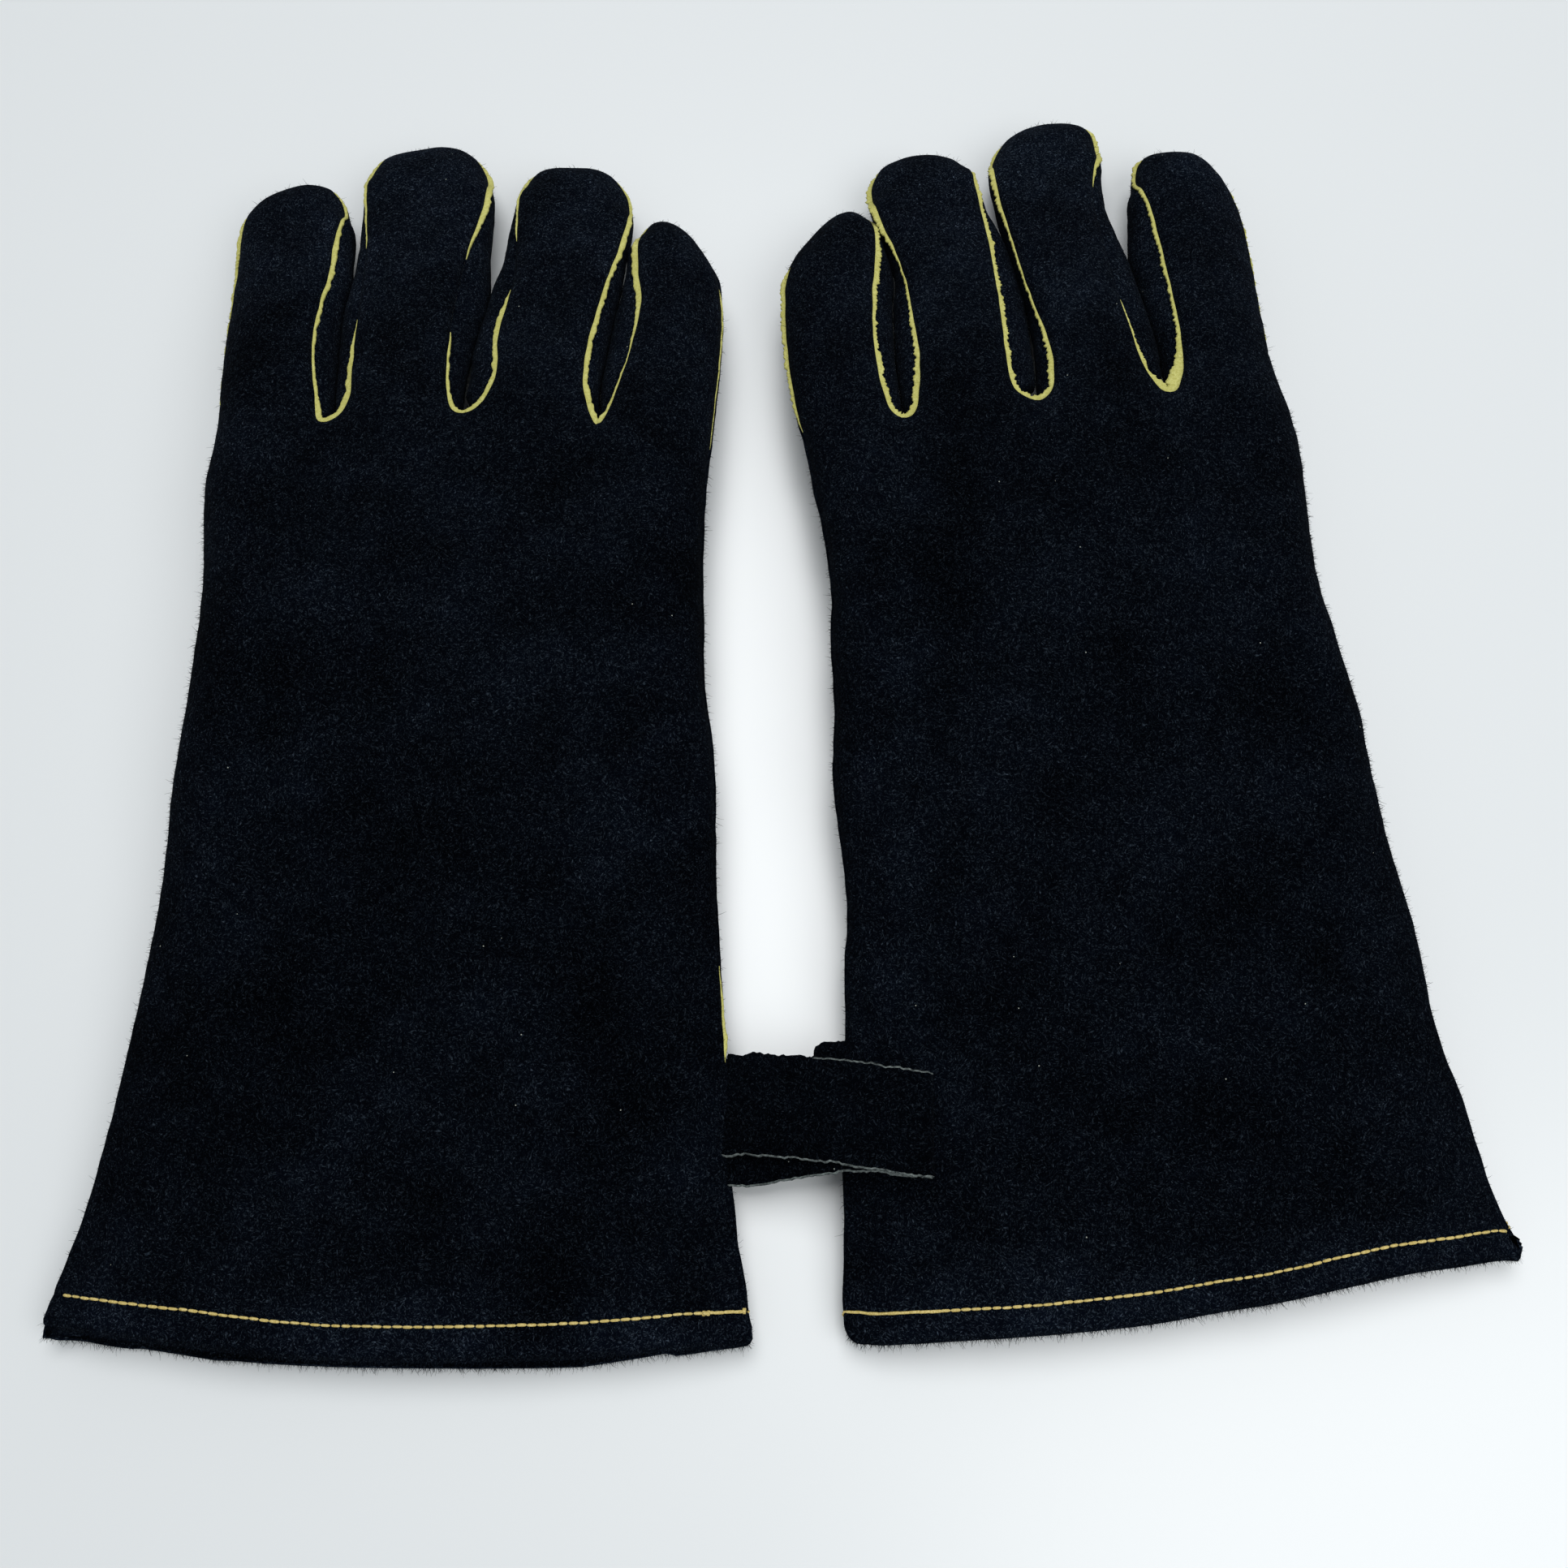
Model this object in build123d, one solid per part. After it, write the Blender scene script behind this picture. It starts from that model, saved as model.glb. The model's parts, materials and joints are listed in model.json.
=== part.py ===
from build123d import *
import os
from math import asin, cos, radians, sin

# A pair of 14 inch suede welding gauntlets, lying palm down, thumbs tucked under the palms.
# Each glove is drawn in its own frame: Y runs from the hem to the fingertips, X points to
# the little finger and Z is up, with the floor at Z = 0. The left glove is the mirror image.

# Materials and seams
LEATHER = 1.8          # thickness of the suede
LINING = 1.4           # thickness of the cotton lining
LAYER_GAP = 0.1        # between the suede and the lining
WELT_BAND = 2.0        # thickness of the welt strip between the two leathers of a seam
WELT_PROUD = 0.3       # how far the welt stands out of the seam
MOVING_GAP = 0.7       # between parts that move against each other

# Cuff and hand, as flat ovals across the glove:
# distance from the hem, half width to the index side, half width to the little finger side,
# height of the underside, height of the top
BODY_STATIONS = [
    (-7, 90, 88.5, 0, 13.5),
    (-2.5, 89, 87.5, 0, 13.8),
    (8, 87, 86, 1.6, 15),
    (40, 80, 81.5, 6, 19.5),
    (75, 74.5, 78, 9, 23),
    (155, 71, 73, 14, 32),
    (200, 70, 71, 14, 35),
    (248, 70.5, 72, 14, 34),
]
HEM_BULGE = 6          # the hem bows out this far at its middle
HEM_HALF_CHORD = 88    # over this half width
HEM_FOLD = 9.5         # depth of the folded hem
STITCH_INSET = 8.2     # from the hem's edge to the stitch row
STITCH_PITCH = 3.2
STITCH_SIZE = (2.4, 0.7, 0.4)

# Wrist, where the hand bends on the cuff
WRIST_Y = 150
WRIST_RADIUS = 9.2

# Fingers: position of the knuckle across the hand, width, length from knuckle to tip
FINGERS = {
    "index": (-53.2, 33.0, 82.4),
    "middle": (-16.8, 36.5, 97.5),
    "ring": (22.0, 37.5, 89.5),
    "little": (56.8, 29.5, 68.0),
}
FINGER_THICKNESS = 20
KNUCKLE_Y = 260.5
KNUCKLE_Z = 24
FINGER_DROOP = 9       # degrees below level
# Share of the length, width and thickness at each station of a finger
FINGER_TAPER = [(0, 1, 1), (0.75, 0.94, 0.92), (0.9, 0.82, 0.8), (0.97, 0.62, 0.6), (1, 0.35, 0.35)]
# Degrees that each finger leans to the little finger side
SPLAY = {
    "right": {"index": -2, "middle": 2.2, "ring": 3.2, "little": 1.5},
    "left": {"index": -5, "middle": -1.5, "ring": -1.5, "little": -3},
}
FORK_WEB = 2.4         # thickness of the web between two fingers
FORK_DEPTH = 4.5
TIP_OPEN = 5           # how far a cutting tool runs past an open end

# Thumb, flat under the palm
THUMB_BASE = (-48, 172)
THUMB_LENGTH = 72
THUMB_WIDTH = 33
THUMB_THICKNESS = 13.2
THUMB_LEAN = 18        # degrees to the little finger side
THUMB_HOLE = 11        # radius of the hole between the palm and the thumb
# Distance from the base as a share of the length, then width and thickness shares
THUMB_TAPER = [
    (-0.22, 0.45, 0.5), (-0.14, 0.85, 0.86), (0, 1, 1), (0.7, 0.94, 1),
    (0.88, 0.82, 0.8), (0.96, 0.62, 0.6), (1, 0.38, 0.4),
]

# Hang loop, a folded strap sewn into the little finger side seam of the cuff
LOOP_Y = 58            # middle of the strap, from the hem
LOOP_WIDTH = 27
LOOP_STRAP = 1.3       # leather thickness
LOOP_SLOT = 0.8        # between its two layers
LOOP_SEWN = 5          # length sewn shut at the root
# Middle line of the folded strap, outwards and upwards from its root
LOOP_OVER = [(0, 0), (28, 9.4), (37, 11), (51, 11)]       # lies on the other glove
LOOP_UNDER = [(0, 0), (4.5, -1.5), (9.5, -12.6), (45, -12.6)]  # lies on the floor

# Where the two gloves lie: hem middle and turn about Z
PLACES = {"right": (-96.5, -180.0, -1.0), "left": (100.5, -168.5, 6.3)}

FAR = 400              # larger than the glove, for the cutting blocks
THICKNESS_ALL = LEATHER + LAYER_GAP + LINING
HEM_RADIUS = (HEM_HALF_CHORD**2 + HEM_BULGE**2) / (2 * HEM_BULGE)


def block(x_range, y_range, z_range):
    """A box from its ranges along the three axes."""
    ranges = (x_range, y_range, z_range)
    size = [high - low for low, high in ranges]
    centre = [(high + low) / 2 for low, high in ranges]
    return Pos(*centre) * Box(*size)


def side_prism(points):
    """An outline of (y, z) points, extruded across the glove."""
    outline = make_face(Plane.YZ * Polyline(*points, close=True))
    return extrude(outline, amount=FAR, dir=(1, 0, 0), both=True)


def oval(y, x_low, x_high, z_low, z_high):
    """A flat oval across the glove: level top and bottom, half-round sides."""
    centre = ((x_low + x_high) / 2, y, (z_low + z_high) / 2)
    plane = Plane(origin=centre, x_dir=(1, 0, 0), z_dir=(0, 1, 0))
    return plane * SlotOverall(x_high - x_low, z_high - z_low)


def tube(stations, inset=0):
    """A solid through the ovals at the stations, each drawn in by the inset."""
    ovals = [
        oval(y, low + inset, high - inset, bottom + inset, top - inset)
        for y, low, high, bottom, top in stations
    ]
    return loft(ovals, ruled=True)


def run_past(stations, start=True, end=True):
    """The stations with an end carried on, so that a cut with them leaves it open."""
    first, last = stations[0], stations[-1]
    before = [(first[0] - TIP_OPEN, *first[1:])] if start else []
    after = [(last[0] + TIP_OPEN, *last[1:])] if end else []
    return before + stations + after


def seam_zones(seam_line):
    """Solids above, inside and below the welt band that follows a line of (y, z) points."""
    half = WELT_BAND / 2
    upper = [(y, z + half) for y, z in seam_line]
    lower = [(y, z - half) for y, z in seam_line]
    first_y, last_y = seam_line[0][0], seam_line[-1][0]
    above = side_prism(upper + [(last_y, FAR), (first_y, FAR)])
    band = side_prism(upper + lower[::-1])
    below = side_prism(lower + [(last_y, -FAR), (first_y, -FAR)])
    return above, band, below


def knuckle_zone(y, z, radius):
    """Everything beyond a hinge line across the glove, with a half-round root about it."""
    root = Pos(0, y, z) * Rot(0, 90, 0) * Cylinder(radius, 2 * FAR)
    return root + block((-FAR, FAR), (y, FAR + y), (-FAR, FAR))


def body_height(y):
    """Underside and top of the cuff and hand at a distance from the hem."""
    for (y0, _, _, bottom0, top0), (y1, _, _, bottom1, top1) in zip(BODY_STATIONS, BODY_STATIONS[1:]):
        if y0 <= y <= y1:
            share = (y - y0) / (y1 - y0)
            return bottom0 + share * (bottom1 - bottom0), top0 + share * (top1 - top0)
    raise ValueError("outside the cuff and hand")


def little_side(y):
    """Half width of the cuff on the little finger side at a distance from the hem."""
    for (y0, _, side0, _, _), (y1, _, side1, _, _) in zip(BODY_STATIONS, BODY_STATIONS[1:]):
        if y0 <= y <= y1:
            return side0 + (y - y0) / (y1 - y0) * (side1 - side0)
    raise ValueError("outside the cuff and hand")


def hem_zone(inset):
    """Everything inside the bowed hem line, moved in by the inset."""
    return Pos(0, HEM_RADIUS - HEM_BULGE, 0) * Cylinder(HEM_RADIUS - inset, 2 * FAR)


def body_pieces():
    """Leathers, welts, linings and stitching of the cuff and the hand."""
    stations = [(y, -index, little, bottom, top) for y, index, little, bottom, top in BODY_STATIONS]
    open_stations = run_past(stations)
    outside = tube(stations)
    leather_inside = tube(open_stations, LEATHER)
    lining = tube(open_stations, LEATHER + LAYER_GAP)
    lining -= tube(run_past(open_stations), THICKNESS_ALL)
    shell = outside - leather_inside
    welt_shell = tube(stations, -WELT_PROUD) - leather_inside

    seam_line = [(y, (bottom + top) / 2) for y, _, _, bottom, top in stations]
    above, band, below = seam_zones(seam_line)

    cuff_end = WRIST_Y - WRIST_RADIUS - MOVING_GAP
    before_wrist = block((-FAR, FAR), (-FAR, cuff_end), (-FAR, FAR))
    cuff = hem_zone(0) & before_wrist
    hem_inside = tube(open_stations, THICKNESS_ALL)
    cuff_shell = ((outside - hem_inside) & cuff) - (leather_inside & hem_zone(HEM_FOLD))
    hand = knuckle_zone(WRIST_Y, sum(body_height(WRIST_Y)) / 2, WRIST_RADIUS)
    hand_shell = shell & hand

    pieces = {
        "cuff_back": cuff_shell & above,
        "cuff_palm": cuff_shell & below,
        "cuff_welts": welt_shell & band & hem_zone(HEM_FOLD) & before_wrist,
        "cuff_lining": lining & hem_zone(HEM_FOLD + LAYER_GAP) & before_wrist,
        "hem_stitching": hem_stitches(),
    }

    hand_end = BODY_STATIONS[-1][0]
    thumb_hole = Pos(*THUMB_BASE, 0) * Cylinder(THUMB_HOLE, 2 * KNUCKLE_Z)
    lining_end = hand_end - FORK_DEPTH - LAYER_GAP
    within_hand = block((-FAR, FAR), (-FAR, lining_end), (-FAR, FAR))
    hand_welts = Compound(children=list((welt_shell & band & hand).solids()) + fork_webs())
    pieces |= {
        "hand_back": hand_shell & above,
        "hand_palm": (hand_shell & below) - thumb_hole,
        "hand_welts": hand_welts,
        "hand_lining": (lining & hand & within_hand) - thumb_hole,
    }
    return pieces


def hem_stitches():
    """Separate stitches along the hem, on its top and on its underside."""
    radius = HEM_RADIUS - STITCH_INSET
    reach = asin((HEM_HALF_CHORD - STITCH_INSET) / radius)
    pitch = STITCH_PITCH / radius
    count = int(reach / pitch)
    stitches = []
    for number in range(-count, count + 1):
        turn = number * pitch
        x = radius * sin(turn)
        y = HEM_RADIUS - HEM_BULGE - radius * cos(turn)
        top = body_height(y + STITCH_SIZE[1])[1]
        bottom = body_height(y - STITCH_SIZE[1])[0]
        half = STITCH_SIZE[2] / 2
        for z in (top + half, bottom - half):
            stitch = Pos(x, y, z) * Rot(0, 0, turn * 180 / 3.14159) * Box(*STITCH_SIZE)
            stitches.append(stitch.solid())
    return Compound(children=stitches)


def fork_webs():
    """The three short webs that close the hand between the fingers."""
    knuckles = list(FINGERS.values())
    hand_end = BODY_STATIONS[-1][0]
    bottom, top = body_height(hand_end)
    webs = []
    for (x0, width0, _), (x1, width1, _) in zip(knuckles, knuckles[1:]):
        middle = (x0 + width0 / 2 + x1 - width1 / 2) / 2
        across = (middle - FORK_WEB / 2, middle + FORK_WEB / 2)
        web = block(across, (hand_end - FORK_DEPTH, hand_end), (bottom + LEATHER, top - LEATHER))
        webs.append(web.solid())
    return webs


def closed_tube(taper, width, thickness, length, inset=0):
    """A finger-like solid along Y about its own middle line; an inset one stops short of the tip."""
    kept = taper[:-1] if inset > 0 else taper
    stations = []
    for share, width_share, thickness_share in kept:
        half_width = width * width_share / 2
        half_thickness = thickness * thickness_share / 2
        y = share * length - (inset if share > 0 else 0)
        stations.append((y, -half_width, half_width, -half_thickness, half_thickness))
    return stations


def split_tube(stations, inner_stations, zone):
    """Back, front, welt and lining of a finger or thumb from its outer and inner stations."""
    leather_inside = tube(inner_stations[0], LEATHER)
    shell = (tube(stations) - leather_inside) & zone
    welt_shell = (tube(stations, -WELT_PROUD) - leather_inside) & zone
    lining = tube(inner_stations[1], LEATHER + LAYER_GAP) - tube(inner_stations[2], THICKNESS_ALL)
    reach = (stations[0][0] - 2 * TIP_OPEN, stations[-1][0] + 2 * TIP_OPEN)
    above, band, below = seam_zones([(reach[0], 0), (reach[1], 0)])
    return shell & above, shell & below, welt_shell & band, lining & zone


def finger_pieces(name, width, length):
    """A finger along Y from its knuckle at the origin, open at the root."""
    insets = (LEATHER, LEATHER + LAYER_GAP, THICKNESS_ALL)
    root = -FINGER_THICKNESS
    outer = closed_tube(FINGER_TAPER, width, FINGER_THICKNESS, length)
    outer = [(root, *outer[0][1:])] + outer
    inner = []
    for number, inset in enumerate(insets):
        stations = closed_tube(FINGER_TAPER, width, FINGER_THICKNESS, length, inset)
        inner.append([(root - number - 1, *stations[0][1:])] + stations)
    zone = knuckle_zone(0, 0, FINGER_THICKNESS / 2)
    back, front, welt, lining = split_tube(outer, inner, zone)
    return {f"{name}_back": back, f"{name}_front": front, f"{name}_welt": welt, f"{name}_lining": lining}


def thumb_pieces():
    """The thumb along Y from the middle of its hole, closed all round but for that hole."""
    insets = (LEATHER, LEATHER + LAYER_GAP, THICKNESS_ALL)
    outer = closed_tube(THUMB_TAPER, THUMB_WIDTH, THUMB_THICKNESS, THUMB_LENGTH)
    inner = []
    for inset in insets:
        taper = THUMB_TAPER[1:]
        inner.append(closed_tube(taper, THUMB_WIDTH, THUMB_THICKNESS, THUMB_LENGTH, inset))
    everywhere = block((-FAR, FAR), (-FAR, FAR), (-FAR, FAR))
    back, front, welt, lining = split_tube(outer, inner, everywhere)
    hole = Pos(0, 0, THUMB_THICKNESS) * Cylinder(THUMB_HOLE, 2 * THUMB_THICKNESS)
    return {
        "thumb_back": back - hole,
        "thumb_front": front,
        "thumb_welt": welt,
        "thumb_lining": lining - hole,
    }


def ribbon(points, thickness):
    """A strip of even thickness along a line of (x, z) points, as a face across Y."""
    vectors = [Vector(x, 0, z) for x, z in points]
    sides = []
    for here, (before, after) in zip(vectors, zip([None] + vectors[:-1], vectors[1:] + [None])):
        runs = [(b - a).normalized() for a, b in ((before, here), (here, after)) if a and b]
        normals = [Vector(-run.Z, 0, run.X) for run in runs]
        mitre = sum(normals, Vector(0, 0, 0)).normalized()
        stretch = thickness / 2 / mitre.dot(normals[0])
        sides.append((here + mitre * stretch, here - mitre * stretch))
    corners = [left for left, _ in sides] + [right for _, right in sides[::-1]]
    return make_face(Polyline(*corners, close=True))


def hang_loop(points):
    """The folded strap, sewn shut at its round root and open across its width beyond that."""
    thickness = 2 * LOOP_STRAP + LOOP_SLOT
    (x0, z0), (x1, z1) = points[:2]
    first = Vector(x1 - x0, 0, z1 - z0)
    start = first.normalized() * LOOP_SEWN
    slot_line = [(start.X, start.Z)] + points[1:-1] + [(points[-1][0] - LOOP_STRAP, points[-1][1])]
    outline = ribbon(points, thickness) - ribbon(slot_line, LOOP_SLOT)
    strap = extrude(outline, amount=LOOP_WIDTH / 2, dir=(0, 1, 0), both=True)
    return strap + Rot(90, 0, 0) * Cylinder(thickness / 2, LOOP_WIDTH)


def loop_root():
    """Where the strap leaves the side seam: the hinge line of the loop."""
    widest = little_side(LOOP_Y - LOOP_WIDTH / 2)
    x = widest + WELT_PROUD + MOVING_GAP + LOOP_STRAP + LOOP_SLOT / 2
    return x, LOOP_Y, sum(body_height(LOOP_Y)) / 2


def finger_place(side, name):
    """Knuckle position and lie of a finger."""
    x = FINGERS[name][0]
    return Pos(x, KNUCKLE_Y, KNUCKLE_Z) * Rot(0, 0, -SPLAY[side][name]) * Rot(-FINGER_DROOP, 0, 0)


def glove(side):
    """All pieces of one glove in its own frame."""
    pieces = body_pieces()
    for name, (_, width, length) in FINGERS.items():
        place = finger_place(side, name)
        for piece_name, piece in finger_pieces(name, width, length).items():
            pieces[piece_name] = place * piece
    thumb_place = Pos(*THUMB_BASE, THUMB_THICKNESS / 2) * Rot(0, 0, -THUMB_LEAN)
    for piece_name, piece in thumb_pieces().items():
        pieces[piece_name] = thumb_place * piece
    route = LOOP_OVER if side == "right" else LOOP_UNDER
    pieces["hang_loop"] = Pos(*loop_root()) * hang_loop(route)
    return pieces


def pair():
    """Both gloves where they lie, with the middle of their outline at the origin."""
    parts = {}
    for side, (x, y, turn) in PLACES.items():
        for name, piece in glove(side).items():
            drawn = piece if side == "right" else mirror(piece, about=Plane.YZ)
            parts[f"{side}_{name}"] = Pos(x, y, 0) * Rot(0, 0, turn) * drawn
    corners = Compound(children=[solid for part in parts.values() for solid in part.solids()])
    bounds = corners.bounding_box()
    shift = Pos(-bounds.center().X, -bounds.center().Y, -bounds.min.Z)
    return {name: shift * part for name, part in parts.items()}, shift.position


os.makedirs("parts", exist_ok=True)
parts, offset = pair()
for name, part in parts.items():
    export_step(part, f"parts/{name}.step")
print("nodes", len(parts), "offset of the gloves", offset)
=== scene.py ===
import json
import math
import random

import bpy
import numpy as np
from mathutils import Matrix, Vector, noise
from mathutils.geometry import delaunay_2d_cdt


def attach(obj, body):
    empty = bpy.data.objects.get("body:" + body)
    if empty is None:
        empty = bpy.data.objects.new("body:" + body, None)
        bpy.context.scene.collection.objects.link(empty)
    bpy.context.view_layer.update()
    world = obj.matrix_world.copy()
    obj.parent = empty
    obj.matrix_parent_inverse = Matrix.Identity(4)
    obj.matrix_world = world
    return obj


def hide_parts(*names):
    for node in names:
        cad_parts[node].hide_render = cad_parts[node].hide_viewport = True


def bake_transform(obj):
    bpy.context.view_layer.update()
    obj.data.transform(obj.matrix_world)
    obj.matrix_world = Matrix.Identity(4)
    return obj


# A pair of black suede welding gauntlets with yellow welts. Each glove is built in its own
# frame, in millimetres: X to the little finger, Y from the hem to the fingertips, Z up.

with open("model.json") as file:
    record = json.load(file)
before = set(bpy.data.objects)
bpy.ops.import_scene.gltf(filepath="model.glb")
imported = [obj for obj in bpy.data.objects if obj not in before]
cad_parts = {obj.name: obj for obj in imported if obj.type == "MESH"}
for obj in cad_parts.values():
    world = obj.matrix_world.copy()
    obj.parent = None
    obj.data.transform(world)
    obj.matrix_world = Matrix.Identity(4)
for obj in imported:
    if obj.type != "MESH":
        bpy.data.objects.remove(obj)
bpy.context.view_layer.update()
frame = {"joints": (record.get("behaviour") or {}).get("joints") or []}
MM = 0.001
JOINTS = {joint["name"]: joint for joint in frame["joints"]}

# ------------------------------------------------------------------ sizes

LEATHER = 1.8          # thickness, less where it is pressed in a seam
HEM_THICK = 3.4        # two leathers
HEM_FOLD = 9.2         # width of the fold
HEM_ROUND = 1.7        # radius of its edge
HEM_CORNER = 5.5       # radius of its corners, seen from above
STITCH_PITCH = 2.5
SEWN_TWICE = 10        # the left-hand glove's last stitches overlap
WELT_THICK = 1.0
WRIST_FROM_HEM = 150.0
FINGER_CUT = 254.0     # the leathers of the fingers and the hand are parted here
STEP = 1.2             # along the seams
CORNER_STEPS = 5       # of them round each corner of the hem
PAST_HEM = 40.0        # how far the side seams go on past the hem when distances are measured
HEM_STEP = 1.5         # along the hem
WALL_CLEAR = 0.03      # between the side walls of two fingers
NAP_FINGERS = 235.0    # the fingers' nap starts here

# Distances from the seam and from the hem of the rows of places beside them
SEAM_ROWS = (0, 0.6, 1.3, 2.1, 3.0, 4.1, 5.4, 6.9, 8.6, 10.5, 12.6)
HEM_ROWS = (0, 0.35, 0.9, 1.7, 2.8, 4.2, 5.8, 7.2, 8.2, 9.2, 10.8, 12.6)

# Height of the glove's underside and top at a distance from the hem
LEVELS_Y = (-9, 8, 40, 75, 155, 200, 244, 262, 300, 330, 345, 357)
LEVELS_LOW = (0.1, 1.6, 6, 9, 14, 14, 14.2, 13.6, 7.9, 3.8, 2.4, 1.4)
LEVELS_TOP = (13.4, 15, 19.5, 23, 32, 35, 34.4, 33.4, 27.4, 22.2, 19.0, 16.0)

# Seam line of each glove from the hem's index side round the fingers to the other side of
# the hem, edge by edge. wall: where the finger's side wall swells to, as far as the line where
# it touches the next finger, which is kept with their fork. welt: (distance from hem, width
# shown), or at a tip (distance across, width shown). stitch: the thread's distance from the
# hem. hem: its bowed edge. palm_hem: (distance across, how far the palm side reaches
# past the back). frayed: how uneven the welt's cut edge is in its finest detail.
RIGHT = {
    "seed": 0,
    "stitch": 8.3,
    "hem": [(-85.6, 2.9), (-75, 2), (-52, -0.2), (-36, -1.9), (-20, -2.9), (-4, -3.2), (12, -3.1),
            (27, -2.5), (43, -1.6), (59, -0.4), (71, 0.8), (80, 1.3), (86.9, 1.9)],
    "palm_hem": [(-88, 3.5), (-83, 5), (-75, 5.2), (-60, 4.5), (-41, 2.6), (-20, 2), (10, 1.7), (45, 2.5),
                 (62, 2.4), (75, 1.8), (84, 0.6)],
    "index_side": {
        "points": [(-85.6, 2.9), (-87.8, 4.4), (-87.2, 8), (-79.1, 35.5), (-69.8, 108), (-69.3, 140),
                   (-68.2, 158), (-67.9, 198), (-71, 226), (-70.2, 246), (-72.4, 274), (-74.2, 304)],
        "welt": [(200, 0.1), (250, 0.5), (280, 0.9), (300, 1.5), (318, 1.7), (328, 1.1)],
    },
    "index_tip": {
        "points": [(-75.4, 319.2), (-73.9, 327.6), (-70.3, 333.2), (-65, 337.2), (-57.5, 339.8),
                   (-50.4, 338.2), (-46.8, 333.2)],
        "welt": [(-75.5, 1.6), (-73.5, 1.5), (-66, 0.5), (-61, 0.1), (-52, 0.1), (-49, 0.5), (-46, 0.9)],
    },
    "index_in": {
        "points": [(-44.6, 325.2), (-45, 314.2), (-44.6, 302.3), (-45.8, 278.8), (-41.8, 253.4)],
        "wall": [(-46, 335.2), (-42.8, 328.2), (-41, 317.2), (-40.5, 307.3), (-39.6, 302.3)],
        "welt": [(332, 0.6), (320, 1.1), (305, 1.4), (290, 0.9), (262, 0.6), (252, 1.2)],
    },
    "fork_1": {
        "points": [(-40.2, 247), (-38.2, 246), (-36, 246.9)],
        "touch": [(-40.4, 291.3), (-39.7, 278.3), (-38.2, 260.4), (-38, 249.4)],
        "welt": [(246, 2.2), (254, 2)],
    },
    "middle_out": {
        "points": [(-33.4, 249.8), (-32, 255.4), (-32.6, 265.4), (-34.5, 299.3), (-35, 312.2)],
        "wall": [(-39.9, 327.2), (-39.1, 313.2), (-39, 303.3)],
        "welt": [(252, 1.8), (268, 1.6), (278, 0.5), (285, 0), (310, 0), (315, 0.5), (340, 1.1),
                 (346, 0.2)],
    },
    "middle_tip": {
        "points": [(-38.7, 340.2), (-38, 346.7), (-35, 352.2), (-20, 357.6), (-12.5, 356.8), (-7.4, 353.2),
                   (-3.8, 347.2)],
        "welt": [(-39, 1.9), (-37.5, 1.9), (-31, 0.6), (-26, 0.1), (-9, 0.1), (-6, 0.3), (-3.5, 1.6)],
    },
    "middle_in": {
        "points": [(-1.8, 339.2), (-1.5, 330.2), (-4.6, 308.3), (-6.1, 280.3), (-4.2, 255.4)],
        "wall": [(-0.6, 341.2), (0.4, 329.2), (0.9, 314.2), (2.5, 300.3)],
        "welt": [(348, 2.2), (330, 1.6), (310, 0.3), (306, 0), (280, 0), (276, 0.5), (268, 0.6),
                 (255, 1.1)],
    },
    "fork_2": {
        "points": [(-2.5, 251.3), (0.2, 249.8), (3.1, 250.6)],
        "touch": [(1.8, 289.3), (0.6, 282.3), (-0.7, 272.3), (-1.3, 261.4), (-0.8, 249.4)],
        "welt": [(250, 1.6), (254, 1.5)],
    },
    "ring_out": {
        "points": [(5.7, 253.4), (8.3, 260.4), (9, 268.4), (8, 275.3), (10.4, 300.3)],
        "wall": [(7.3, 334.2), (5.7, 321.2), (5.3, 310.2), (3.2, 302.3)],
        "welt": [(252, 1.4), (262, 1.6), (275, 1.5), (283, 1.8), (290, 1.3), (296, 0), (315, 0), (318, 0.6),
                 (330, 0.9), (340, 0.3)],
    },
    "ring_tip": {
        "points": [(9.3, 337.2), (11.6, 344.6), (16.5, 348.4), (31.5, 348.5), (37.3, 344.5), (41.2, 338)],
        "welt": [(9, 1.9), (11, 1.8), (14, 1.1), (18, 0.5), (22, 0.1), (33, 0.1), (37, 0.5), (41, 0.8)],
    },
    "ring_in": {
        "points": [(42.8, 328.2), (41.8, 317.2), (37.3, 295.3), (34, 269.4), (34.7, 257.4)],
        "wall": [(43.8, 331.2), (43.7, 323.2), (42.5, 313.2), (42, 302.3)],
        "welt": [(338, 0.4), (320, 1.5), (305, 1.1), (250, 1.6)],
    },
    "fork_3": {
        "points": [(39, 246.7)],
        "touch": [(41, 295.3), (38.2, 262.4), (38.6, 249.4)],
        "welt": [(246, 1.7), (254, 1.6)],
    },
    "little_out": {
        "points": [(41.2, 249.9), (46.2, 268.9), (48.9, 292.3), (47.4, 303.3)],
        "wall": [(45.5, 327.2), (42.8, 321.2), (42.8, 307.3), (42.2, 302.3)],
        "welt": [(252, 1), (262, 0.5), (275, 0.5), (285, 1.4), (310, 2), (320, 1.5), (326, 0.2)],
    },
    "little_tip": {
        "points": [(47.1, 319.2), (49.8, 325.2), (54.5, 326.2), (60.2, 323.2), (69.6, 307.8)],
        "welt": [(47, 1.1), (49.5, 1.2), (53, 0.5), (57, 0.1), (66, 0.1), (69, 0.1)],
    },
    "little_side": {
        "points": [(71.6, 299.5), (72.6, 286), (70.8, 245), (69.7, 232), (69.8, 201), (70.6, 187),
                   (70.9, 174), (74.5, 149), (76, 116), (80.4, 62), (80.9, 46), (82.6, 36), (83.7, 26.6),
                   (85.6, 17.9), (87, 9.3), (88.3, 5), (88.3, 3.2), (86.9, 1.9)],
        "welt": [(310, 0.1), (300, 0.4), (285, 0.5), (270, 0.3), (240, 0.1), (95, 0.1), (85, 0.6),
                 (74, 1.1), (71, 0)],
    },
}
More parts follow.
